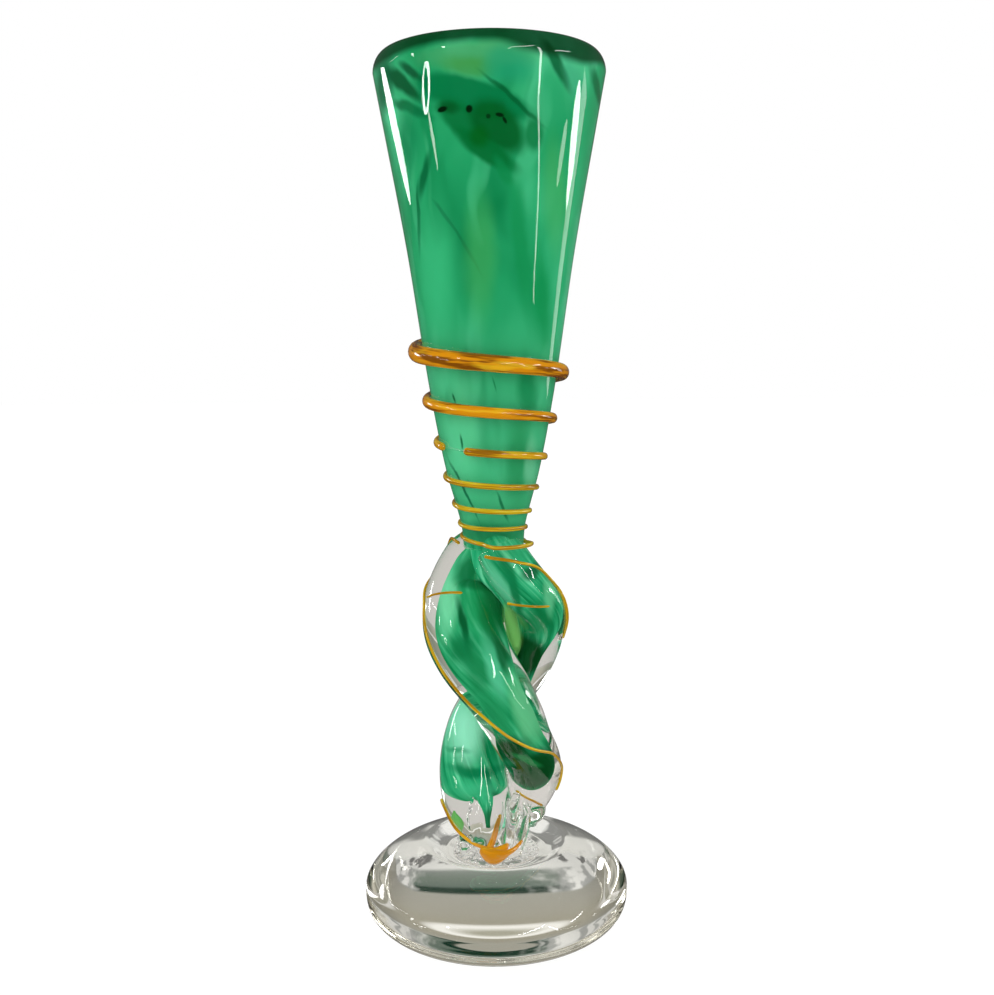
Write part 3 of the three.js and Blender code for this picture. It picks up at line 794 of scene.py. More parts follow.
@dataclass(frozen=True)
class GreenGlass:
    """Milky green glass with clouds and streaks of lighter and darker green drawn out lengthways.

    It turns dark round rim_height and up, and paler below pale_from. Lengths are in metres. On a
    core the clouds and streaks follow the glass along its path: their girths and lengths are those
    that Tree.path takes.
    """

    name: str
    side: Side
    deep: Colour = srgb(0, 56, 20)
    dark: Colour = srgb(4, 132, 74)
    middle: Colour = srgb(34, 166, 104)
    light: Colour = srgb(52, 184, 122)
    pale: Colour = srgb(92, 218, 160)
    shades_at: tuple[float, ...] = (0.32, 0.44, 0.56, 0.68)
    cloud_scale: float = 30.0
    cloud_stretch: float = 0.36
    cloud_path: tuple[float, float] = (2.2, 22.0)
    drift_scale: float = 26.0
    warp: float = 0.014
    path_warp: float = 0.5
    fray: float = 0.005
    fray_scale: float = 70.0
    fray_stretch: float = 0.5
    streaks: float = 0.4
    glow: float = 0.35
    streak_scale: float = 75.0
    streak_stretch: float = 0.13
    streak_path: tuple[float, float] = (5.0, 30.0)
    rim_height: float = 1.0
    rim_fade: float = 0.0035
    rim_wave: float = 0.006
    rim_share: float = 0.92
    pale_from: float = 0.225
    pale_fade: float = 0.06
    pale_share: float = 0.55
    along_path: bool = False
    patches: tuple[Patch, ...] = ()

    def material(self) -> bpy.types.Material:
        """Build the material: clouds, a paler lower part, streaks, patches, a few of them painted
        shade and one painted light, and a dark rim.

        Returns:
            The material.
        """
        made = bpy.data.materials.new(f"{self.name}_{self.side.value}")
        tree = Tree(made)
        places = tree.places()
        drift = tree.noise(places, self.drift_scale, 2).out("Color") - 0.5
        warped = places + drift * self.warp
        if self.along_path:
            drawn, scale = tree.path(*self.cloud_path) + drift * self.path_warp, 1.0
            fine = tree.path(*self.streak_path)
        else:
            drawn, scale = warped * (1, 1, self.cloud_stretch), self.cloud_scale
            fine = warped * (1, 1, self.streak_stretch) * self.streak_scale
        cloud = tree.noise(drawn, scale, 3, Roughness=0.5).out("Fac")
        shades = (self.dark, self.middle, self.light, self.pale)
        stops = list(zip(self.shades_at, shades, strict=True))
        colour = tree.node("ShaderNodeValToRGB", {"stops": stops}, {0: cloud}).out("Color")
        height = tree.split(warped).out("Z")
        paler = height.between(self.pale_from, self.pale_from - self.pale_fade, 0, self.pale_share)
        colour = tree.mix(paler, colour, self.pale)
        streak = tree.noise(fine, 1.0, 2).out("Fac").between(0.56, 0.68)
        colour = tree.mix(streak * self.streaks, colour, self.dark)
        glow = tree.noise(fine * 1.6 + 5.0, 1.0, 1).out("Fac").between(0.58, 0.72)
        colour = tree.mix(glow * self.glow, colour, self.pale)
        drawn_out = places * (1, 1, self.fray_stretch)
        ragged = tree.noise(drawn_out, self.fray_scale, 3).out("Color") - 0.5
        frayed = places + ragged * self.fray
        for patch in self.patches:
            around = frayed if patch.loose else places
            colour = tree.mix(self._within(tree, around, patch), colour, patch.colour)
        wavy = height + (cloud - 0.5) * self.rim_wave
        rim = wavy.between(self.rim_height - self.rim_fade, self.rim_height)
        colour = tree.mix(rim * self.rim_share, colour, self.deep)
        bare = self.side is Side.BARE
        surface = tree.node(
            "ShaderNodeBsdfPrincipled",
            {},
            {
                "Base Color": colour,
                "Roughness": 0.08 if bare else 0.5,
                "Specular IOR Level": 0.5 if bare else 0.0,
                "Subsurface Weight": 0.12,
                "Subsurface Radius": (0.3, 1.0, 0.6),
                "Subsurface Scale": 0.003,
            },
        )
        tree.finish(surface.out(0))
        return made

    @staticmethod
    def _within(tree: Tree, places: Sock, patch: Patch) -> Sock:
        """Give the share of a soft leaning patch at each place.

        Args:
            tree: the material's tree.
            places: the places on the glass.
            patch: the patch, which reaches about as deep into the glass as it is large.

        Returns:
            Its strength in its middle, falling to 0 past its edge.
        """
        moved = places - tuple(c * MM for c in patch.middle)
        turned = tree.node(
            "ShaderNodeVectorRotate",
            {"rotation_type": "Y_AXIS"},
            {"Vector": moved, "Angle": -math.radians(patch.lean)},
        ).out(0)
        least_depth, depth_share = 6.0, 1.3
        depth = max(least_depth, depth_share * max(patch.half))
        scaled = turned * tuple(1 / (half * MM) for half in (patch.half[0], depth, patch.half[1]))
        return tree.length(scaled).between(1 - patch.edge, 1 + patch.edge, patch.strength, 0)


@dataclass(frozen=True)
class AmberGlass:
    """Amber glass drawn into a thread: honey with brown streaks along it.

    It is yellower where it is thin, which is below thin_from and above drop_top, the height of the
    drop on the foot. The drop has less brown in it. Heights are in metres, and the streaks have the
    girths and lengths that Tree.path takes.
    """

    name: str = "amber_glass"
    honey: Colour = srgb(222, 146, 8)
    brown: Colour = srgb(108, 54, 0)
    yellow: Colour = srgb(240, 190, 30)
    thin_honey: Colour = srgb(206, 170, 22)
    thin_brown: Colour = srgb(160, 108, 8)
    thin_yellow: Colour = srgb(226, 212, 56)
    thin_from: float = 0.185
    thin_fade: float = 0.03
    drop_top: float = 0.036
    drop_fade: float = 0.006
    brown_path: tuple[float, float] = (1.3, 24.0)
    brown_share: float = 0.85
    brown_lost_in_drop: float = 0.65
    yellow_path: tuple[float, float] = (1.0, 16.0)
    yellow_share: float = 0.7
    roughness: float = 0.1

    def material(self) -> bpy.types.Material:
        """Build the material from the place round and along the thread and its height.

        Returns:
            The material.
        """
        made = bpy.data.materials.new(self.name)
        tree = Tree(made)
        height = tree.split(tree.places()).out("Z")
        thin = height.between(self.thin_from, self.thin_from - self.thin_fade)
        thin = thin * height.between(self.drop_top, self.drop_top + self.drop_fade)
        band = tree.noise(tree.path(*self.brown_path), 1.0, 3, Roughness=0.55).out("Fac")
        honey = tree.mix(thin, self.honey, self.thin_honey)
        brown = tree.mix(thin, self.brown, self.thin_brown)
        drop = height.between(self.drop_top + 0.004, self.drop_top)
        browner = self.brown_share - self.brown_lost_in_drop * drop
        colour = tree.mix(band.between(0.46, 0.58) * browner, honey, brown)
        bright = tree.noise(tree.path(*self.yellow_path) + 7.3, 1.0, 2).out("Fac")
        yellow = tree.mix(thin, self.yellow, self.thin_yellow)
        colour = tree.mix(bright.between(0.54, 0.68) * self.yellow_share, colour, yellow)
        surface = tree.node(
            "ShaderNodeBsdfPrincipled",
            {},
            {
                "Base Color": colour,
                "Roughness": self.roughness,
                "Coat Weight": 0.3,
                "Coat Roughness": 0.03,
                "Subsurface Weight": 0.15,
                "Subsurface Radius": (1.0, 0.5, 0.1),
                "Subsurface Scale": 0.0015,
            },
        )
        tree.finish(surface.out(0))
        return made


@dataclass
class Foot:
    """The foot: a domed disc of solid clear glass, flat underneath, that dips in the middle.

    Lengths are in millimetres. The side under its widest place and the dome over it are parts of
    superellipses, each of its own power.
    """

    radius: float
    widest_height: float = 14.75
    base_radius: float = 28.6
    base_power: float = 3.06
    crown_rise: float = 19.2
    crown_power: float = 1.8
    dip_radius: float = 26.0
    dip_depth: float = 5.7
    seat_radius: float = 17.2
    seat_height: float = 25.7
    seat_edge: float = 1.5
    middle_radius: float = 2.0
    sides: int = 180

    def profile(self) -> tuple[np.ndarray, np.ndarray]:
        """Trace the section from the middle of the base over the side and the dome to the seat.

        Returns:
            The radii and the heights.
        """
        share = 1 - (self.base_radius / self.radius) ** self.base_power
        full_drop = self.widest_height / share ** (1 / self.base_power)
        low = np.linspace(0, self.widest_height, 34)
        drop = (self.widest_height - low) / full_drop
        side = self.radius * (1 - drop**self.base_power) ** (1 / self.base_power)
        seat_share = (self.seat_radius / self.radius) ** self.crown_power
        top = (1 - seat_share) ** (1 / self.crown_power)
        rise = top * np.sin(np.linspace(0, math.pi / 2, 50)[1:])
        dome = self.radius * (1 - rise**self.crown_power) ** (1 / self.crown_power)
        sink = self.dip_depth * (1 - smoothstep(dome, self.seat_radius, self.dip_radius))
        crown = self.widest_height + self.crown_rise * rise - sink
        inner = np.linspace(self.base_radius, self.middle_radius, 6)[::-1]
        seat = np.linspace(self.seat_radius - self.seat_edge, self.middle_radius, 6)
        radii = np.concatenate([inner[:-1], side, dome, seat])
        level = np.full(len(seat), self.seat_height)
        return radii, np.concatenate([np.zeros(len(inner) - 1), low, crown, level])

    def build(self) -> bpy.types.Object:
        """Make the foot's glass, which the stem's glass is joined to."""
        radii, heights = self.profile()
        return skin(lathe(radii, heights, self.sides)).mesh("foot_and_stem_glass")


# How far the stem bows towards +X, in millimetres, against the share of the way down it.
SWAY: Pairs = (
    (0, 0),
    (0.28, 0.2),
    (0.36, 1.3),
    (0.46, 2.8),
    (0.55, 1.6),
    (0.64, 0),
    (0.84, 0.5),
    (0.91, 1.9),
    (1, 4.2),
)


@dataclass
class Strand:
    """One glass strand of the stem that turns about the Z axis as it goes down, in millimetres.

    Its reach from the axis, its radius and its core's radius go by the share of the way down. The
    core lies nearer to the axis by core_inset and ends at the share core_end. A lobe that starts
    off that line comes back to it over core_eased. The glass is folded more and more over folded.
    """

    start_angle: float
    twist: float
    reach: Pairs
    radius: Pairs
    core: Pairs
    core_inset: float
    core_end: float
    sway: Pairs = SWAY
    core_eased: tuple[float, float] = (0.2, 0.55)
    folded: tuple[float, float] = (0.8, 0.93)
    crown: float = 0.0
    foot: float = 0.0

    def point(self, share: np.ndarray, inset: float = 0) -> np.ndarray:
        """Give the centreline's points at shares of the way down.

        Args:
            share: shares of the way down.
            inset: how much nearer to the axis the line runs.

        Returns:
            The points.
        """
        angle = np.radians(self.start_angle + self.twist * share)
        reach = through(self.reach, share) - inset
        height = self.crown + (self.foot - self.crown) * share
        across = through(self.sway, share) + reach * np.cos(angle)
        return np.stack([across, reach * np.sin(angle), height], -1)

    def axes(self, share: np.ndarray, inset: float = 0) -> tuple[np.ndarray, ...]:
        """Give the centreline with the strand's own directions.

        Args:
            share: shares of the way down.
            inset: how much nearer to the axis the line runs.

        Returns:
            The points, the way ahead, the outward side and the side across.
        """
        step = 0.002
        centre = self.point(share, inset)
        ahead = unit(self.point(share + step, inset) - self.point(share - step, inset))
        outward = heading(np.radians(self.start_angle + self.twist * share))
        outward = square_to(outward, ahead)
        return centre, ahead, outward, np.cross(ahead, outward)

    def body(self, first: float, last: float, steps: int, sides: int, folds: float = 0) -> Surface:
        """Make the strand's clear outside as a closed tube.

        Args:
            first: the share of the way down where it starts.
            last: the share where it ends.
            steps: how many rings it has.
            sides: how many points go round.
            folds: how deep its lengthwise folds are at the foot, as a share of its radius.

        Returns:
            The closed tube.
        """
        share = np.linspace(first, last, steps)
        centre, _, outward, side = self.axes(share)
        radius = through(self.radius, share)[:, None]
        rings = tube(centre, outward * radius, side * radius, sides)
        turn = np.arange(sides) * 2 * math.pi / sides
        depth = folds * smoothstep(share, *self.folded)[:, None]
        wave = 0.5 * np.cos(3 * turn + 9 * share[:, None]) + 0.5 * np.cos(5 * turn + 1.3)
        rings = centre[:, None] + (rings - centre[:, None]) * (1 + depth * (wave - 0.6))[:, :, None]
        return skin(rings, lengths(centre))

    def core_body(
        self,
        first: float,
        steps: int,
        sides: int,
        shift: tuple[float, float] = (0, 0),
        scale: float = 1.0,
        round_start: bool = False,
        round_length: float = 0.05,
    ) -> Surface:
        """Make a green core, or one lobe of it, with its rounded lower end.

        Args:
            first: the share of the way down where it starts.
            steps: how many rings its straight part has.
            sides: how many points go round.
            shift: how far it starts off the core's line, outward and across; it eases in half way.
            scale: its girth as a share of the core's.
            round_start: whether its upper end is rounded too.
            round_length: the length of a rounded end, as a share of the way down.

        Returns:
            The closed tube.
        """
        bend = np.linspace(0, math.pi / 2, 14)
        start = first + round_length * (1 - np.cos(bend)) if round_start else np.array([first])
        end = self.core_end - round_length * (1 - np.sin(bend))
        middle = np.linspace(start[-1], end[0], steps)[1:-1]
        share = np.concatenate([start, middle, end])
        tip = 0.0004
        closing = rounded((self.core_end - share) / round_length, tip)
        if round_start:
            closing = closing * rounded((share - first) / round_length, tip)
        centre, _, outward, side = self.axes(share, self.core_inset)
        ease = 1 - smoothstep(share, *self.core_eased)
        centre = centre + (outward * shift[0] + side * shift[1]) * ease[:, None]
        radius = (through(self.core, share) * scale * closing)[:, None]
        return skin(tube(centre, outward * radius, side * radius, sides), lengths(centre))


LEFT = Strand(
    start_angle=90,
    twist=365,
    reach=(
        (0, 5.0),
        (0.126, 9.6),
        (0.497, 12.0),
        (0.643, 12.4),
        (0.739, 13.6),
        (0.856, 12.2),
        (0.924, 9.5),
        (1, 5.6),
    ),
    radius=(
        (0, 6.0),
        (0.097, 12.3),
        (0.26, 14.4),
        (0.497, 11.3),
        (0.739, 9.6),
        (0.836, 9.9),
        (0.907, 9.2),
        (1, 6.5),
    ),
    core=((0, 5.0), (0.126, 8.6), (0.26, 9.0), (0.497, 6.0), (0.773, 5.0)),
    core_inset=0.9,
    core_end=0.79,
)
RIGHT = Strand(
    start_angle=270,
    twist=342.5,
    reach=(
        (0, 4.6),
        (0.097, 9.9),
        (0.255, 16.5),
        (0.387, 13.8),
        (0.625, 9.7),
        (0.783, 8.2),
        (0.907, 6.9),
        (1, 4.6),
    ),
    radius=(
        (0, 6.0),
        (0.053, 8.2),
        (0.097, 8.7),
        (0.255, 8.4),
        (0.387, 10.6),
        (0.572, 11.0),
        (0.783, 11.9),
        (0.854, 11.7),
        (0.907, 10.6),
        (0.946, 8.0),
        (1, 5.0),
    ),
    core=(
        (0, 4.4),
        (0.097, 6.2),
        (0.2, 5.0),
        (0.3, 4.6),
        (0.4, 4.4),
        (0.5, 5.8),
        (0.6, 8.0),
        (0.7, 8.8),
        (0.84, 8.6),
    ),
    core_inset=1.2,
    core_end=0.84,
)

# Ropes of glass: the X and Y of their middles, the heights over the pad and the radii. First come
# the fold and the bead on the left strand, and the folds of clear glass round the stem's base.
FOLD = (
    (11.5, 3.5, 20.6, 3.0),
    (12.0, 3.0, 17.6, 4.6),
    (14.0, 2.0, 12.6, 4.0),
    (13.3, 1.5, 9.6, 3.6),
    (12.8, 1.5, 8.0, 1.8),
)
BEAD = (18.6, 2.5, 18.2, 1.9)
ROPES = (
    ((-7.5, -12.6, 22.0, 1.2), (-7.2, -13.2, 16.0, 3.0), (-6.8, -12.6, 9.0, 2.2)),
    ((-13.5, -6.5, 30.0, 1.2), (-13.0, -7.5, 18.0, 2.2), (-11.0, -7.0, 3.0, 1.6)),
    ((-3.0, -7.5, 27.0, 0.8), (-0.8, -10.4, 13.0, 2.2), (0.6, -10.0, -1.0, 2.2)),
    ((8.5, -3.5, 25.0, 0.8), (5.2, -7.8, 13.0, 2.4), (2.6, -8.5, -1.0, 2.2)),
    ((11.5, -3.5, 18.0, 1.2), (9.0, -7.0, 9.0, 2.8), (6.4, -6.5, -1.0, 2.4)),
)
# The clear glass that fills the gap between the strands, an egg: its middle and its half axes.
GAP = ((4.2, 1.2, 107.0), (6.5, 3.2, 13.0))
# Two tails drawn out of the right core's lower end, and long air bubbles in the clear glass there.
TAILS = (
    ((-5.4, -4.6, 21.0, 3.0), (-4.2, -5.6, 15.5, 1.7), (-3.4, -6.2, 11.0, 0.7)),
    ((-12.8, -5.0, 15.4, 0.3), (-11.8, -5.9, 12.2, 1.7), (-10.0, -6.8, 9.0, 0.3)),
)
BUBBLES = (
    ((6.4, 1.5, 15.8, 0.8), (7.6, 1.3, 15.2, 1.3), (8.8, 1.5, 14.8, 0.6)),
    ((1.4, -6.4, 18.4, 0.2), (0.8, -6.4, 14.0, 0.5), (0.4, -6.4, 9.8, 0.2)),
)
# The green web that joins the two cores under the bowl, and the thin egg of green between them.
WEB = (
    (0.0, 0.0, 112.0, 8.5),
    (0.2, 0.0, 104.0, 8.0),
    (0.6, 0.0, 97.0, 6.6),
    (1.6, 0.4, 92.0, 4.4),
    (4.0, 1.6, 86.0, 2.9),
    (6.4, 2.4, 79.0, 2.6),
    (7.2, 2.6, 73.0, 1.6),
)
VEIL = ((4.9, 2.4, 107.0), (6.2, 1.0, 12.5))


@dataclass
class Stem:
    """The stem: two strands fused where they touch and to the foot, each round a green core."""

    left: Strand
    right: Strand
    top: float
    bottom: float
    crown_above_neck: float = 5.3
    overlap: float = 0.022
    grain: float = 0.42
    smoothing: int = 16
    start: float = 0.04
    core_start: float = -0.04
    rings: int = 150
    sides: int = 56
    folds: float = 0.1

    def __post_init__(self) -> None:
        """Hang both strands between the bowl and the pad."""
        for strand in (self.left, self.right):
            strand.crown = self.top + self.crown_above_neck
            strand.foot = self.bottom

    def lumps(self, places: tuple[tuple[float, ...], ...], sides: int = 24) -> Surface:
        """Make an upright rounded rope, whose sections are level.

        Args:
            places: for each place on it, from its top down, the X and Y of its middle, its height
                over the pad and its radius.
            sides: how many points go round.

        Returns:
            The closed rope.
        """
        k = np.linspace(0, 1, 40)
        x, y, rise, size = (traced(row, k) for row in np.array(places, float).T)
        centre = np.stack([x, y, rise + self.bottom], -1)
        bend = np.linspace(0.1, math.pi / 2, 6)
        cap = np.outer(np.cos(bend[::-1]), (0, 0, 1.0))
        top, base = centre[:1] + cap * size[0], centre[-1:] - cap[::-1] * size[-1]
        centre = np.concatenate([top, centre[1:-1], base])
        size = np.concatenate([np.sin(bend) * size[0], size[1:-1], np.sin(bend[::-1]) * size[-1]])
        flat = np.array([[1.0, 0, 0], [0, 1.0, 0]])
        return skin(tube(centre, flat[0] * size[:, None], flat[1] * size[:, None], sides))

    def build_glass(
        self, foot: bpy.types.Object, collar: bpy.types.Object, finish: bpy.types.Material
    ) -> bpy.types.Object:
        """Melt both strands' clear glass into one skin, and join it to the foot and the collar.

        Args:
            foot: the foot's glass.
            collar: the joining pad's glass.
            finish: the clear glass.

        Returns:
            The one piece of glass, with its air bubbles cut out.
        """
        x, y, rise, radius = BEAD
        gap, gap_half = GAP
        strands = (self.left, self.right)
        size = (self.start, 1 + self.overlap, self.rings, self.sides, self.folds)
        surfaces = [
            *(strand.body(*size) for strand in strands),
            self.lumps(FOLD),
            ball((x, y, self.bottom + rise), radius),
            ball(gap, 1.0, 24, gap_half),
            *(self.lumps(rope) for rope in ROPES),
        ]
        melted = fuse("stem_glass", surfaces, self.grain, self.smoothing)
        made = unite(unite(foot, melted), collar)
        for bubble in BUBBLES:
            made = unite(made, self.lumps(bubble).mesh("bubble"), Meeting.HOLLOWS)
        nodes = ("foot", "joining_pad", "left_strand_casing", "right_strand_casing")
        return dress(made, nodes, "clear_glass", finish)

    def build_cores(self, left: bpy.types.Material, right: bpy.types.Material) -> None:
        """Make the green cores inside the strands.

        Args:
            left: the left core's green glass. This core has two lobes that run together.
            right: the right core's, which has the web, the veil and the tails with it.
        """
        sheet = self.left.core_body(self.core_start, 120, 44, shift=(-0.5, 1.6), scale=0.8)
        lobe = self.left.core_body(0.17, 110, 40, shift=(-2.6, -2.4), scale=0.74, round_start=True)
        core = self.right.core_body(self.core_start, 130, 44)
        veil, veil_half = VEIL
        joined = (self.lumps(WEB, 32), ball(veil, 1.0, 24, veil_half), *map(self.lumps, TAILS))
        for name, first, others, finish in (
            ("left", sheet, (lobe,), left),
            ("right", core, joined, right),
        ):
            piece = first.mesh(f"{name}_green_core")
            for surface in others:
                piece = unite(piece, surface.mesh("joined"))
            dress(piece, (f"{name}_strand_core",), "green_glass", finish)


@dataclass
class JoiningPad:
    """The joint between stem and foot: a thin collar of clear glass, crackled by small lumps."""

    height: float
    radius: float
    lumps: int = 230
    lump_reach: tuple[float, float] = (0.4, 0.96)
    lump_radius: tuple[float, float] = (0.5, 1.2)
    lump_rise: tuple[float, float] = (-0.1, 0.7)
    disc_insets: tuple[float, float] = (1.0, 0.6)
    disc_heights: tuple[float, float] = (-0.6, 0.3)
    seed: int = 11
    grain: float = 0.3

    def build(self) -> bpy.types.Object:
        """Make the collar, sunk half way into the foot: a thin disc under lumps at random.

        Returns:
            The collar.
        """
        chance = np.random.default_rng(self.seed)
        under, over = (self.radius - inset for inset in self.disc_insets)
        low, high = self.disc_heights
        disc = skin(lathe(np.array([2, under, over]), np.array([low, low, high]), 60))
        disc.points[:, 2] += self.height
        surfaces = [disc]
        for _ in range(self.lumps):
            turn = chance.uniform(0, 2 * math.pi)
            away = chance.uniform(*self.lump_reach) * self.radius
            size = chance.uniform(*self.lump_radius)
            rise = self.height + chance.uniform(*self.lump_rise)
            surfaces.append(ball((away * math.cos(turn), away * math.sin(turn), rise), size, 8))
        return fuse("joining_pad_crackle", surfaces, self.grain, 0)


@dataclass
class Bowl:
    """The bowl: a tall tapering cup of green glass cased in clear, in millimetres.

    The outline gives its outer radius against the share of its height.
    """

    bottom: float
    height: float
    mouth_radius: float
    outline: Pairs = (
        (0, 10.4),
        (0.037, 10.8),
        (0.085, 12.6),
        (0.159, 15.9),
        (0.329, 21.2),
        (0.61, 28.1),
        (0.854, 35.2),
    )
    lip_rise: float = 6.3
    lip_crest: float = 4.3
    lip_power: float = 1.9
    lip_thickness: float = 5.0
    casing_wall: float = 2.1
    colour_wall: float = 2.2
    lip_wall: float = 0.6
    thinning: tuple[float, float] = (26.0, 9.0)
    casing_floor: float = 2.8
    colour_floor: float = 9.0
    colour_drop: float = 2.2
    floor_edge: float = 3.0
    sides: int = 160

    def radius(self, height: np.ndarray | float) -> np.ndarray:
        """Give the outer radius at heights above the bowl's underside."""
        shoulder = (1 - self.lip_rise / self.height, self.mouth_radius)
        return through((*self.outline, shoulder), np.asarray(height) / self.height)

    def clear_wall(self, height: np.ndarray) -> np.ndarray:
        """Give the casing's thickness over the green, which is least at the lip.

        Args:
            height: heights above the bowl's underside.

        Returns:
            The thickness at each.
        """
        from_top, to_top = self.thinning
        rise = smoothstep(height, self.height - from_top, self.height - to_top)
        return self.casing_wall + (self.lip_wall - self.casing_wall) * rise

    def lip(self, inset: float, inner: float) -> tuple[np.ndarray, np.ndarray]:
        """Trace the folded lip, or a line inside it.

        Args:
            inset: how far inside the lip's outer surface the line runs.
            inner: the radius at which it comes down on the inner side.

        Returns:
            The radii and the heights above the bowl's underside.
        """
        crest = self.mouth_radius - self.lip_crest
        turn = np.linspace(0, math.pi, 40)[1:]
        outer = turn < math.pi / 2
        reach = np.where(outer, self.lip_crest - inset, crest - inner)
        power = np.where(outer, 2 / self.lip_power, 1.0)
        across = np.sign(np.cos(turn)) * np.abs(np.cos(turn)) ** power
        rise = (self.lip_rise - inset) * np.abs(np.sin(turn)) ** power
        return crest + across * reach, self.height - self.lip_rise + rise

    def build_casing(self, finish: bpy.types.Material) -> None:
        """Make the clear casing, with its inner face hidden in the green: the two are one glass.

        Args:
            finish: the clear glass.
        """
        lip_base = self.height - self.lip_rise
        outside = np.linspace(0, lip_base, 120)
        lip_radii, lip_heights = self.lip(0, self.mouth_radius - self.lip_thickness)
        floor = self.casing_floor + self.floor_edge
        inside = np.linspace(lip_base, floor, 60)
        hidden = (self.radius(inside) - self.clear_wall(inside) + self.inner_radius(inside)) / 2
        radii = np.concatenate([[2], self.radius(outside), lip_radii, hidden, [2]])
        heights = np.concatenate([[0], outside, lip_heights, inside, [floor]])
        made = skin(lathe(radii, heights + self.bottom, self.sides)).mesh("bowl_casing_glass")
        dress(made, ("bowl_casing",), "clear_glass", finish)

    def inner_radius(self, height: np.ndarray) -> np.ndarray:
        """Give the radius of the green layer's bare inside."""
        return self.radius(height) - self.casing_wall - self.colour_wall

    def build_colour(self, cased: bpy.types.Material, bare: bpy.types.Material) -> None:
        """Make the green cup inside the casing.

        Args:
            cased: the finish of the outside and the lip, which clear glass covers.
            bare: the finish of the inside.
        """
        lip_base = self.height - self.lip_rise
        low = self.casing_floor - self.colour_drop
        outside = np.linspace(low + 1, lip_base, 110)
        outer = self.radius(outside) - self.clear_wall(outside)
        inner_floor = self.casing_floor + self.colour_floor
        inside = np.linspace(lip_base, inner_floor + self.floor_edge, 80)
        inner = self.inner_radius(inside)
        lip_radii, lip_heights = self.lip(self.lip_wall, inner[0])
        under, over = [1, outer[0] - 1], [inner[-1] * 0.6, 1]
        radii = np.concatenate([under, outer, lip_radii, inner[1:], over])
        heights = np.concatenate([[low, low], outside, lip_heights, inside[1:], [inner_floor] * 2])
        made = skin(lathe(radii, heights + self.bottom, self.sides)).mesh("bowl_green_layer")
        dress(made, ("bowl_colour",), "green_glass", cased, bare)
        bare_from = len(under) + len(outside) + len(lip_radii) - 1
        rings = np.arange(len(radii) - 1)
        bare_rings = np.repeat(rings >= bare_from, self.sides)
        caps = np.repeat([False, True], self.sides)
        slots = np.concatenate([bare_rings, caps])
        made.data.polygons.foreach_set("material_index", slots.astype(np.int32))


# The drop at the end of the foot's thread, its tail to the right and the streak up into the glass:
# the X and Y of their middles, the heights over the pad and the radii.
DROPS = (
    ((-5.6, -13.6, 4.4, 1.1), (-0.8, -15.2, 2.5, 2.7), (4.6, -14.2, 3.6, 0.9)),
    ((2.0, -15.0, 2.9, 1.3), (6.0, -13.4, 4.2, 0.8), (9.2, -11.2, 6.6, 0.45)),
    ((-2.4, -12.0, 3.6, 1.3), (-1.2, -10.2, 8.0, 1.1), (0.6, -8.4, 15.0, 0.5)),
)
# Each thread's strand, its route as shares of the way down with angles round the strand, its
# thickness along the route, and how finely it is made.
THREADS = {
    "trail_left_strand": (
        LEFT,
        (
            (0.068, -104),
            (0.089, -50),
            (0.15, -8),
            (0.232, -24),
            (0.277, -14),
            (0.383, 20),
            (0.476, 39),
            (0.546, 36),
            (0.677, 6),
            (0.735, 8),
            (0.783, 45),
        ),
        ((0, 1.4), (1, 1.2)),
        52,
    ),
    "trail_right_shoulder": (
        RIGHT,
        ((0.05, 52), (0.09, 4), (0.15, -30), (0.2, -28), (0.25, 8), (0.31, 32)),
        ((0, 1.5), (0.55, 1.2), (0.82, 1.7), (1, 1.0)),
        30,
    ),
    "trail_left_eye": (
        LEFT,
        ((0.232, -94), (0.2325, -60), (0.233, -32)),
        ((0, 1.2), (1, 0.9)),
        10,
    ),
    "trail_right_eye": (
        RIGHT,
        ((0.15, 100), (0.164, 74), (0.198, 30)),
        ((0, 1.5), (0.3, 1.0), (1, 0.9)),
        10,
    ),
    "trail_lower_right": (
        LEFT,
        ((0.775, 138), (0.79, 106), (0.815, 84)),
        ((0, 1.0), (1, 1.1)),
        12,
    ),
    "trail_foot": (
        RIGHT,
        ((0.82, 8), (0.85, -4), (0.885, 0), (0.925, -3), (0.95, -12), (0.966, -28), (0.968, -58)),
        ((0, 1.3), (0.6, 1.6), (0.84, 4.4), (1, 1.4)),
        28,
    ),
}


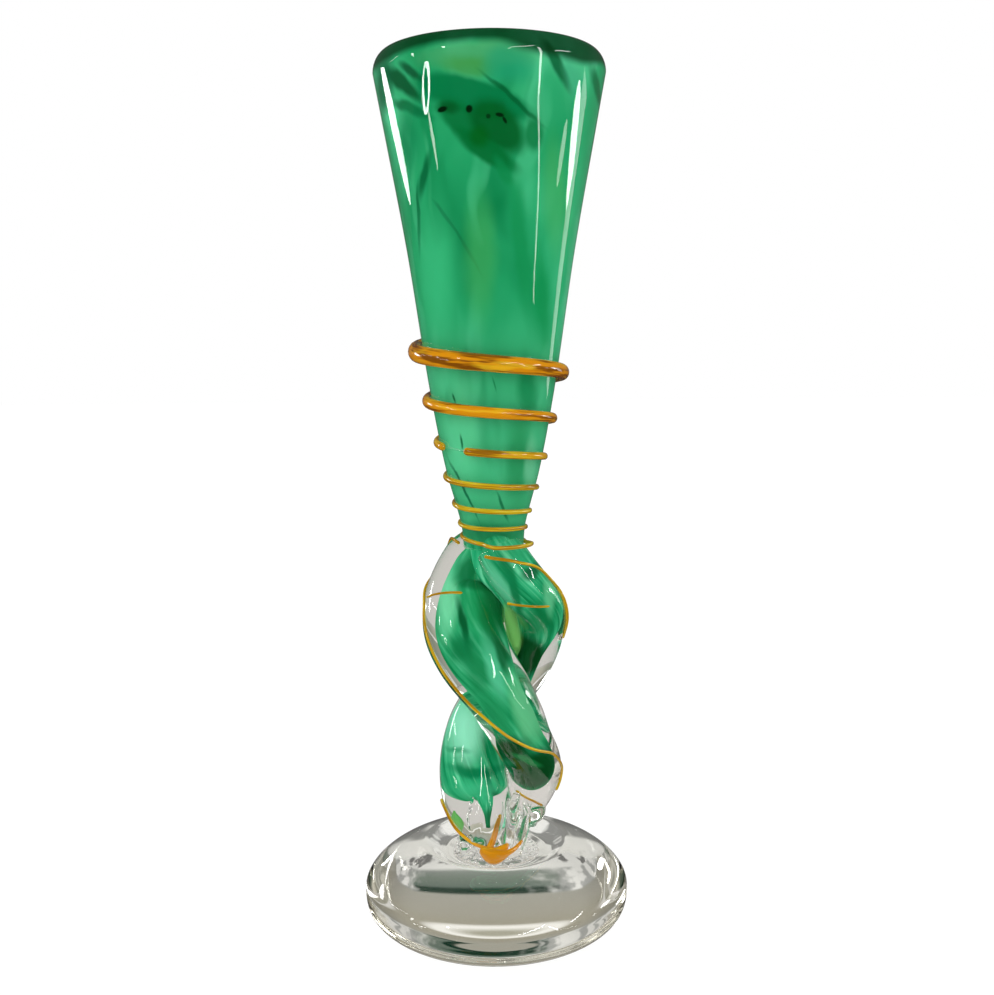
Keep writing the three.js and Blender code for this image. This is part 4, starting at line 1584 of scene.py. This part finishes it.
@dataclass
class Trail:
    """The amber trail: turns that wind down the bowl and threads that run on over the stem.

    Lengths are in millimetres, heights are above the bowl's underside, and turns are counted from
    the bowl's left side. The ground is the stem's glass, which the lowest rings are draped over.
    """

    bowl: Bowl
    ground: BVHTree
    top_height: float = 67.8
    first_pitch: float = 17.9
    last_pitch: float = 3.2
    even_turns: float = 6
    tilt: float = 0.5
    last_ring_sag: float = 1.9
    sag_turns: float = 0.3
    thin: float = 1.3
    extra: float = 5.1
    thinning_turns: float = 1.7
    flatness: float = 0.84
    start_turn: float = -0.25
    break_turn: float = 2.085
    restart_turn: float = 2.165
    end_turn: float = 6.58
    bridge_thickness: float = 0.8
    bridge_tuck: float = 0.01
    bite: float = 0.2
    thread_share: float = 0.8
    draped_below: float = 14.0
    drape_window: int = 9
    ray_start: float = 30.0
    tip: float = 0.01
    steps_per_turn: int = 110
    sides: int = 20
    thread_sides: int = 14

    def height(self, turn: np.ndarray) -> np.ndarray:
        """Give the height above the bowl's underside at each turn.

        Args:
            turn: the turns.

        Returns:
            The heights.
        """
        drop = self.first_pitch * turn
        drop = drop + (self.last_pitch - self.first_pitch) * turn**2 / (2 * self.even_turns)
        level = self.even_turns + self.sag_turns
        sag = self.last_ring_sag * smoothstep(turn, self.even_turns, level)
        return self.top_height - drop - sag + self.tilt * np.cos(2 * math.pi * (turn + 0.5))

    def thickness(self, turn: np.ndarray, even: float | None) -> np.ndarray:
        """Give the thickness at each turn.

        Args:
            turn: the turns.
            even: the thickness of a stretch that hasn't the winding's own.

        Returns:
            The thickness at each.
        """
        if even is not None:
            return np.full(len(turn), even)
        return self.thin + self.extra * np.exp(-turn / self.thinning_turns)

    def stretch(self, first: float, last: float, even: float | None = None) -> Surface:
        """Make a stretch of the winding with rounded tips, sunk a little into the bowl.

        Args:
            first: the turn where it starts.
            last: the turn where it ends.
            even: its thickness, where it hasn't the winding's own.

        Returns:
            The closed tube.
        """
        tip = np.linspace(0, math.pi / 2, 8)
        turns = np.linspace(first, last, max(8, int((last - first) * self.steps_per_turn)))
        length = 2 * math.pi * self.bowl.radius(self.height(turns))
        span = self.thickness(turns, even)[[0, -1]] / 2 / length[[0, -1]]
        start = first + span[0] * (1 - np.cos(tip))
        end = last - span[1] * (1 - np.cos(tip[::-1]))
        middle = turns[(turns > start[-1]) & (turns < end[0])]
        turns = np.concatenate([start, middle, end])
        size = self.thickness(turns, even)
        rounding = np.maximum(0.03, np.sin(tip))
        closing = np.ones(len(turns))
        closing[: len(tip)], closing[-len(tip) :] = rounding, rounding[::-1]
        outward = heading(2 * math.pi * (turns + 0.5))
        height = self.height(turns)
        depth = size * self.flatness / 2
        away = np.maximum(self.bowl.radius(height), self.ground_reach(outward, height))
        away = away + depth - self.bite
        centre = outward * away[:, None]
        centre[:, 2] = self.bowl.bottom + height
        across = outward * (depth * closing)[:, None]
        down = np.array([0, 0, -1.0]) * (size / 2 * closing)[:, None]
        return skin(tube(centre, across, down, self.sides), lengths(centre))

    def ground_reach(self, outward: np.ndarray, height: np.ndarray) -> np.ndarray:
        """Find how far out the stem's glass stands under the lowest rings, evened out along them.

        Args:
            outward: the level direction at each place of the winding.
            height: the height of each.

        Returns:
            The glass's distance from the axis, or 0 where no glass is met.
        """
        far, window = self.ray_start, self.drape_window
        reach = np.zeros(len(height))
        for i in np.flatnonzero(height < self.draped_below):
            start = Vector(outward[i] * far) + Vector((0, 0, self.bowl.bottom + height[i]))
            hit = self.ground.ray_cast(start * MM, Vector(-outward[i]))[3]
            reach[i] = far - hit / MM if hit is not None and hit < far * MM else 0
        high = windows(reach, window).max(axis=0)
        return windows(high, window).mean(axis=0)

    def thread(self, strand: Strand, route: Pairs, thickness: Pairs, steps: int) -> Surface:
        """Lay a thread on a strand.

        Args:
            strand: the strand it lies on.
            route: shares of the way down, each with an angle round the strand in degrees.
            thickness: its thickness along the route.
            steps: how finely it is made.

        Returns:
            The closed tube.
        """
        shares, angles = np.array(route, float).T
        k = np.linspace(0, 1, steps * 3)
        share = traced(shares, k)
        half = through(thickness, k) / 2 * self.thread_share
        centre, _, outward, side = strand.axes(share)
        turn = np.radians(traced(angles, k))[:, None]
        away = outward * np.cos(turn) + side * np.sin(turn)
        girth = through(strand.radius, share)
        point = centre + away * (girth + half - self.bite)[:, None]
        ahead = unit(np.gradient(point, axis=0))
        across = square_to(away, ahead)
        along = lengths(point)
        near = np.minimum(along, along[-1] - along)
        size = (half * rounded(near / half, self.tip))[:, None]
        rings = tube(point, across * size, np.cross(ahead, across) * size, self.thread_sides)
        return skin(rings, along)

    def drop(self, places: tuple[tuple[float, ...], ...], bottom: float) -> Surface:
        """Draw a drop of glass with round ends.

        Args:
            places: for each place along it the X and Y of its middle, its height over the pad and
                its radius.
            bottom: the height of the pad.

        Returns:
            The closed drop.
        """
        k = np.sin(np.linspace(-math.pi / 2, math.pi / 2, 60)) / 2 + 0.5
        x, y, rise, radius = np.array(places, float).T
        x, y, height, radius = (traced(row, k) for row in (x, y, rise + bottom, radius))
        point = np.stack([x, y, height], -1)
        ahead = unit(np.gradient(point, axis=0))
        across = unit(np.cross(ahead, np.array([0, 0, 1.0])))
        along = lengths(point)
        near = np.minimum(along / radius[0], (along[-1] - along) / radius[-1])
        size = (radius * rounded(near, self.tip))[:, None]
        rings = tube(point, across * size, np.cross(ahead, across) * size, self.sides)
        return skin(rings, along)

    def build(self, amber: bpy.types.Material, clear: bpy.types.Material, bottom: float) -> None:
        """Make every piece of the trail.

        Args:
            amber: the amber glass of the rings and threads.
            clear: the clear glass of the bridge, where the trail was drawn thin.
            bottom: the height of the pad.
        """
        pieces = {
            "trail_upper_rings": self.stretch(self.start_turn, self.break_turn),
            "trail_lower_rings": self.stretch(self.restart_turn, self.end_turn),
        }
        pieces |= {name: self.thread(*thread) for name, thread in THREADS.items()}
        for name, surface in pieces.items():
            piece = surface.mesh(name.replace("trail", "amber"))
            dress(piece, (name,), "amber_glass", amber)
            if name == "trail_foot":
                for drop in DROPS:
                    piece = unite(piece, self.drop(drop, bottom).mesh("drop"))
        start, end = self.break_turn - self.bridge_tuck, self.restart_turn + self.bridge_tuck
        bridge = self.stretch(start, end, self.bridge_thickness).mesh("amber_bridge")
        dress(bridge, ("trail_bridge",), "clear_glass", clear)


class PaneShape(Enum):
    """The outline of a bright pane."""

    STRIP = "strip"
    LEAF = "leaf"
    LOOP = "loop"


@dataclass
class Lamp:
    """A soft lamp that faces the vase, in metres.

    Its azimuth is in degrees from the camera's side, clockwise seen from above.
    """

    name: str
    azimuth: float
    distance: float
    low: float
    high: float
    width: float
    radiance: float

    def build(self) -> None:
        """Hang the lamp as an upright panel, which itself isn't seen in the glass."""
        data = bpy.data.lights.new(self.name, "AREA")
        data.shape = "RECTANGLE"
        data.size = self.width
        data.size_y = self.high - self.low
        data.energy = self.radiance * math.pi * data.size * data.size_y
        made = bpy.data.objects.new(self.name, data)
        turn = math.radians(self.azimuth)
        away = Vector((math.sin(turn), -math.cos(turn), 0))
        made.location = away * self.distance + Vector((0, 0, (self.low + self.high) / 2))
        made.rotation_euler = (-away).to_track_quat("-Z", "Y").to_euler()
        made.visible_camera = False
        made.visible_glossy = False
        made.visible_transmission = False
        bpy.context.scene.collection.objects.link(made)


@dataclass
class Pane:
    """A bright pane that only shows in reflections and through glass.

    Its lower and upper ends are each an azimuth as a lamp's and a height in metres.
    """

    name: str
    low: tuple[float, float]
    high: tuple[float, float]
    width: float
    radiance: float
    shape: PaneShape
    distance: float = 1.0
    steps: int = 33

    def strip(
        self, inner: np.ndarray, outer: np.ndarray, k: np.ndarray
    ) -> tuple[np.ndarray, np.ndarray]:
        """Make a strip of the pane.

        Args:
            inner: one side, as shares of half the width.
            outer: the other side.
            k: how far up each of their points is, as a share of the pane.

        Returns:
            The points in millimetres, and the faces.
        """
        azimuth = self.low[0] + (self.high[0] - self.low[0]) * k
        height = self.low[1] + (self.high[1] - self.low[1]) * k
        points = []
        for side in (inner, outer):
            turn = np.radians(azimuth) + side * self.width / 2 / self.distance
            points.append(np.stack([np.sin(turn), -np.cos(turn), height / self.distance], -1))
        n = np.arange(len(k) - 1)
        faces = np.stack([n, n + 1, n + 1 + len(k), n + len(k)], -1)
        return np.concatenate(points) * self.distance / MM, faces

    def build(self) -> None:
        """Hang the pane round the vase."""
        k = np.linspace(0, 1, self.steps)
        leaf = np.sqrt(np.maximum(0, 1 - (2 * k - 1) ** 2))
        if self.shape is PaneShape.LOOP:
            tall, wide = 0.8, 0.5
            hollow = np.sqrt(np.maximum(0, 1 - ((2 * k - 1) / tall) ** 2)) * wide
            parts = [(-leaf, -hollow), (hollow, leaf)]
        elif self.shape is PaneShape.LEAF:
            parts = [(-leaf, leaf)]
        else:
            parts = [(-np.ones(self.steps), np.ones(self.steps))]
        strips = [self.strip(inner, outer, k) for inner, outer in parts]
        faces = [face + 2 * self.steps * i for i, (_, face) in enumerate(strips)]
        points = np.concatenate([point for point, _ in strips])
        made = Surface(points, np.concatenate(faces), np.zeros((0, 3), int)).mesh(self.name)
        material = bpy.data.materials.new(self.name)
        tree = Tree(material)
        lit = {"Color": WHITE, "Strength": self.radiance}
        tree.finish(tree.node("ShaderNodeEmission", {}, lit).out(0))
        made.data.materials.append(material)
        made.visible_camera = False
        made.visible_diffuse = False
        made.visible_shadow = False


# What rays that leave the glass see of the surround, from straight down at 0 to straight up at 1.
# These bands make the foot's white curve, its plain grey middle, its dark line and its green-grey
# band, and the white above them.
BANDS = [
    (0.0, (0.55, 0.53, 0.5)),
    (0.49, (0.55, 0.53, 0.5)),
    (0.505, (0.5, 0.48, 0.4)),
    (0.543, (0.42, 0.41, 0.33)),
    (0.55, (1.0, 0.99, 0.96)),
    (0.556, (1.0, 0.99, 0.96)),
    (0.563, (0.36, 0.34, 0.27)),
    (0.6, (0.38, 0.365, 0.31)),
    (0.676, (0.4, 0.395, 0.35)),
    (0.684, (0.0, 0.03, 0.015)),
    (0.699, (0.0, 0.03, 0.015)),
    (0.706, (0.13, 0.18, 0.15)),
    (0.735, (0.2, 0.25, 0.21)),
    (0.757, (0.3, 0.34, 0.31)),
    (0.768, (1.0, 1.0, 0.98)),
]


@dataclass
class Studio:
    """A pale floor, a white surround, soft lamps and bright panes.

    The floor's reach is in metres and its drop under the foot in millimetres. The camera sees it
    glow. Glass sees on it a painted pool of light round the foot, mottled with painted patches of
    light and shade, and a dimmer floor past the pool's edge. What glass shows of the surround goes
    by the level of the direction, as in BANDS, and by its X: there the walls' torn ends rise from
    the first number of a pair to the second.
    """

    floor_reach: float = 4.0
    floor_drop: float = 0.2
    floor_plain: Colour = (0.8, 0.79, 0.78)
    floor_in_gloss: Colour = (0.04, 0.04, 0.04)
    floor_glow: float = 0.755
    floor_soft: Colour = (0.3, 0.3, 0.3)
    pool_patch_shade: Colour = (0.32, 0.32, 0.315)
    pool_patch_light: Colour = (1.0, 0.99, 0.98)
    floor_past_pool: Colour = (0.66, 0.63, 0.6)
    pool_patch_scale: float = 42.0
    pool_edge: tuple[float, float] = (0.055, 0.09)
    room_low: Colour = (0.10, 0.10, 0.10)
    room_high: Colour = (0.04, 0.04, 0.04)
    wall_dark: Colour = (0.5, 0.51, 0.5)
    wall_light: Colour = (1.0, 1.0, 0.98)
    wall_scale: float = 9.0
    wall_levels: tuple[tuple[float, float], ...] = ((0.672, 0.684), (0.775, 0.762))
    wall_ends: tuple[tuple[float, float], ...] = ((0.28, 0.46), (-0.12, -0.3))
    torn_scale: float = 14.0
    torn_by: float = 0.3
    cloud_grey: Colour = (0.24, 0.24, 0.235)
    cloud_scale: float = 5.0
    cloud_levels: tuple[float, float] = (0.765, 0.775)
    aslant: tuple[float, float] = (0.95, 0.74)
    aslant_dark: float = 0.28
    room_light: Colour = (0.95, 0.95, 0.95)
    lamps: tuple[Lamp, ...] = (
        Lamp("key", -35, 1.3, 0.3, 1.3, 0.9, 1.0),
        Lamp("fill", 60, 1.3, 0.2, 1.2, 0.9, 0.5),
    )
    panes: tuple[Pane, ...] = (
        Pane("left_window", (-115, 0.19), (-127, 0.375), 0.22, 10, PaneShape.LEAF),
        Pane("left_loop", (-67, 0.172), (-63, 0.214), 0.21, 22, PaneShape.LOOP),
        Pane("left_tail", (-62, 0.10), (-66, 0.176), 0.05, 9, PaneShape.LEAF),
        Pane("left_lobe", (-75, 0.3), (-77, 0.48), 0.05, 15, PaneShape.LEAF),
        Pane("foot_left", (-109, 0.36), (-83, 0.5), 0.05, 14, PaneShape.LEAF),
        Pane("stem_left", (-43, 0.56), (-44, 0.7), 0.06, 18, PaneShape.LEAF),
        Pane("stem_blade", (17, 0.3), (45, 0.75), 0.06, 20, PaneShape.LEAF),
        Pane("stem_flame", (64, 0.38), (84, 0.62), 0.11, 16, PaneShape.LEAF),
        Pane("right_window", (109, 0.165), (101, 0.275), 0.26, 14, PaneShape.LEAF),
        Pane("right_wall", (122, -0.02), (110, 0.3), 0.2, 2.6, PaneShape.STRIP),
        Pane("right_ragged", (86, 0.13), (89, 0.21), 0.1, 5.0, PaneShape.LEAF),
        Pane("right_slit", (66, 0.02), (50, 0.16), 0.04, 8, PaneShape.STRIP),
        Pane("right_slit_top", (50, 0.16), (46, 0.56), 0.04, 13, PaneShape.STRIP),
    )

    def build_floor(self) -> None:
        """Lay the floor just under the foot."""
        reach = self.floor_reach / MM
        corners = np.array([(-1, -1), (1, -1), (1, 1), (-1, 1)], float) * reach
        points = np.column_stack([corners, np.full(4, -self.floor_drop)])
        face = np.array([[0, 1, 2, 3]])
        made = Surface(points, face, np.zeros((0, 3), int)).mesh("floor")
        material = bpy.data.materials.new("pale_floor")
        tree = Tree(material)
        rays = tree.light_path()
        places = tree.places()
        # Painted light and shade for rays through glass: bright and dark patches in a pool of light
        # round the foot, dimmer past the pool's edge.
        pool_patch_mask = tree.noise(places, self.pool_patch_scale, 3).out("Fac").between(0.42, 0.49)
        painted_pool = tree.mix(pool_patch_mask, self.pool_patch_shade, self.pool_patch_light)
        painted_pool = tree.mix(tree.length(places).between(*self.pool_edge), painted_pool, self.floor_past_pool)
        table = tree.mix(rays.out("Is Glossy Ray"), self.floor_plain, self.floor_in_gloss)
        table = tree.mix(rays.out("Is Transmission Ray"), table, painted_pool)
        plain = tree.node("ShaderNodeBsdfDiffuse", {}, {"Color": table})
        lit = {"Color": WHITE, "Strength": self.floor_glow}
        glow = tree.node("ShaderNodeEmission", {}, lit)
        soft = tree.node("ShaderNodeBsdfDiffuse", {}, {"Color": self.floor_soft})
        both = tree.node("ShaderNodeAddShader", {}, {0: glow.out(0), 1: soft.out(0)})
        tree.finish(tree.choose(rays.out("Is Camera Ray"), plain.out(0), both.out(0)))
        made.data.materials.append(material)

    def through_glass(self, tree: Tree, way: Sock) -> Sock:
        """Colour the surround as rays that leave the glass see it.

        Args:
            tree: the world's tree.
            way: the direction of each ray.

        Returns:
            The bands, with grey clouds in the white over them, and cloudy white at both ends of
            the dark line and the green-grey band. All of it is darker away from the X and Y axes.
        """
        split = tree.split(way)
        level = split.out("Z") * 0.5 + 0.5
        bands = tree.node("ShaderNodeValToRGB", {"stops": BANDS}, {0: level}).out("Color")
        ragged = tree.noise(way, self.cloud_scale, 3).out("Fac").between(0.45, 0.39)
        clouds = ragged * level.between(*self.cloud_levels)
        patched = tree.mix(clouds, bands, self.cloud_grey)
        shift = (tree.noise(way, self.torn_scale, 2).out("Fac") - 0.5) * self.torn_by
        torn = split.out("X") + shift
        right, left = (torn.between(*ends) for ends in self.wall_ends)
        above, below = (level.between(*levels) for levels in self.wall_levels)
        cloudy = tree.noise(way, self.wall_scale, 3).out("Fac").between(0.42, 0.56)
        wall = tree.mix(cloudy, self.wall_dark, self.wall_light)
        patched = tree.mix(right.at_least(left) * (above * below), patched, wall)
        along_x, along_y = (tree.math("ABSOLUTE", split.out(axis)) for axis in ("X", "Y"))
        aslant = along_x.at_least(along_y).between(*self.aslant, 0, self.aslant_dark)
        return tree.mix(aslant, patched, BLACK)

    def build_surround(self) -> None:
        """Light the room evenly, and show it white to the camera and softer in glass and gloss."""
        world = bpy.data.worlds.new("surround")
        bpy.context.scene.world = world
        tree = Tree(world)
        rays = tree.light_path()
        way = tree.places("Generated")
        room = tree.mix(tree.split(way).out("Z").between(-0.1, 0.9), self.room_low, self.room_high)
        colour = tree.mix(rays.out("Is Glossy Ray"), self.room_light, room)
        colour = tree.mix(rays.out("Is Transmission Ray"), colour, self.through_glass(tree, way))
        colour = tree.mix(rays.out("Is Camera Ray"), colour, WHITE)
        light = tree.node("ShaderNodeBackground", {}, {"Color": colour, "Strength": 1.0})
        tree.finish(light.out(0))

    def build(self) -> None:
        """Set up floor, surround and lamps."""
        self.build_floor()
        self.build_surround()
        for light in (*self.lamps, *self.panes):
            light.build()


@dataclass
class Viewpoint:
    """The photograph's camera: where it stands, in millimetres, and how it is turned."""

    place: tuple[float, float, float] = (1.35, -410.7, 205.2)
    pitch: float = 7.2425
    roll: float = -0.49
    focal_pixels: float = 1200.0
    picture_width: float = 994.0
    sensor: float = 36.0

    def build(self) -> None:
        """Put the camera in place and make it the scene's own."""
        data = bpy.data.cameras.new("view")
        data.sensor_fit = "HORIZONTAL"
        data.sensor_width = self.sensor
        data.lens = self.focal_pixels / self.picture_width * self.sensor
        data.clip_start = 0.01
        made = bpy.data.objects.new("view", data)
        tilt = Matrix.Rotation(math.radians(90 - self.pitch), 4, "X")
        lean = Matrix.Rotation(math.radians(self.roll), 4, "Z")
        made.matrix_world = Matrix.Translation(Vector(self.place) * MM) @ tilt @ lean
        bpy.context.scene.collection.objects.link(made)
        bpy.context.scene.camera = made


def set_render_look() -> None:
    """Set the plain view transform, and let light pass deep into the glass."""
    scene = bpy.context.scene
    scene.view_settings.view_transform = "Standard"
    cycles = scene.cycles
    cycles.max_bounces = 24
    cycles.transmission_bounces = 24
    cycles.transparent_max_bounces = 24
    cycles.glossy_bounces = 8
    cycles.diffuse_bounces = 4
    cycles.caustics_reflective = False
    cycles.caustics_refractive = True


CORE_GREEN = GreenGlass(
    "core_green",
    Side.CASED,
    deep=srgb(0, 84, 36),
    pale_share=0.0,
    along_path=True,
)
LEFT_CORE_GREEN = replace(
    CORE_GREEN,
    name="left_core_green",
    dark=srgb(10, 140, 82),
    middle=srgb(30, 160, 100),
    light=srgb(48, 180, 120),
    pale=srgb(92, 214, 160),
    streaks=0.14,
    glow=0.12,
    patches=LEFT_CORE_PATCHES_AND_PAINTED_SHADE,
)
RIGHT_CORE_GREEN = replace(
    CORE_GREEN,
    name="right_core_green",
    dark=srgb(6, 138, 82),
    middle=srgb(34, 168, 110),
    light=srgb(56, 190, 132),
    pale=srgb(110, 224, 172),
    streaks=0.6,
    glow=0.4,
    patches=RIGHT_CORE_PATCHES_AND_PAINTED_LIGHT_AND_SHADE,
)
# The gap at each end of the stem and the collar's height over the pad's underside, in millimetres,
# and how far under the bowl's top its rim turns dark, in metres.
CLEARANCE = 0.3
COLLAR_RISE = 0.6
RIM_DROP = 0.004


def main() -> None:
    """Build the vase piece by piece, light it and place the camera."""
    set_render_look()
    _, foot_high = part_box("foot")
    bowl_low, bowl_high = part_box("bowl_casing")
    pad_low, pad_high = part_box("joining_pad")
    clear = ClearGlass().material()
    bowl_bottom = bowl_low.z / MM
    pad_top = pad_high.z / MM
    stem = Stem(LEFT, RIGHT, top=bowl_bottom - CLEARANCE, bottom=pad_top + CLEARANCE)
    pad = JoiningPad(height=pad_low.z / MM + COLLAR_RISE, radius=pad_high.x / MM)
    collar = pad.build()
    glass = stem.build_glass(Foot(radius=foot_high.x / MM).build(), collar, clear)
    stem.build_cores(LEFT_CORE_GREEN.material(), RIGHT_CORE_GREEN.material())
    bowl = Bowl(
        bottom=bowl_bottom,
        height=(bowl_high.z - bowl_low.z) / MM,
        mouth_radius=bowl_high.x / MM,
    )
    bowl.build_casing(clear)
    inside = GreenGlass("bowl_green", Side.BARE, rim_height=bowl_high.z - RIM_DROP)
    outside = replace(inside, side=Side.CASED, patches=BOWL_PATCHES)
    bowl.build_colour(outside.material(), inside.material())
    ground = BVHTree.FromObject(glass, bpy.context.evaluated_depsgraph_get())
    Trail(bowl, ground).build(AmberGlass().material(), clear, stem.bottom)
    Studio().build()
    Viewpoint().build()
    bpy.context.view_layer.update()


if __name__ == "__main__":
    logging.basicConfig(level=logging.INFO, format="%(name)s: %(message)s")
    main()
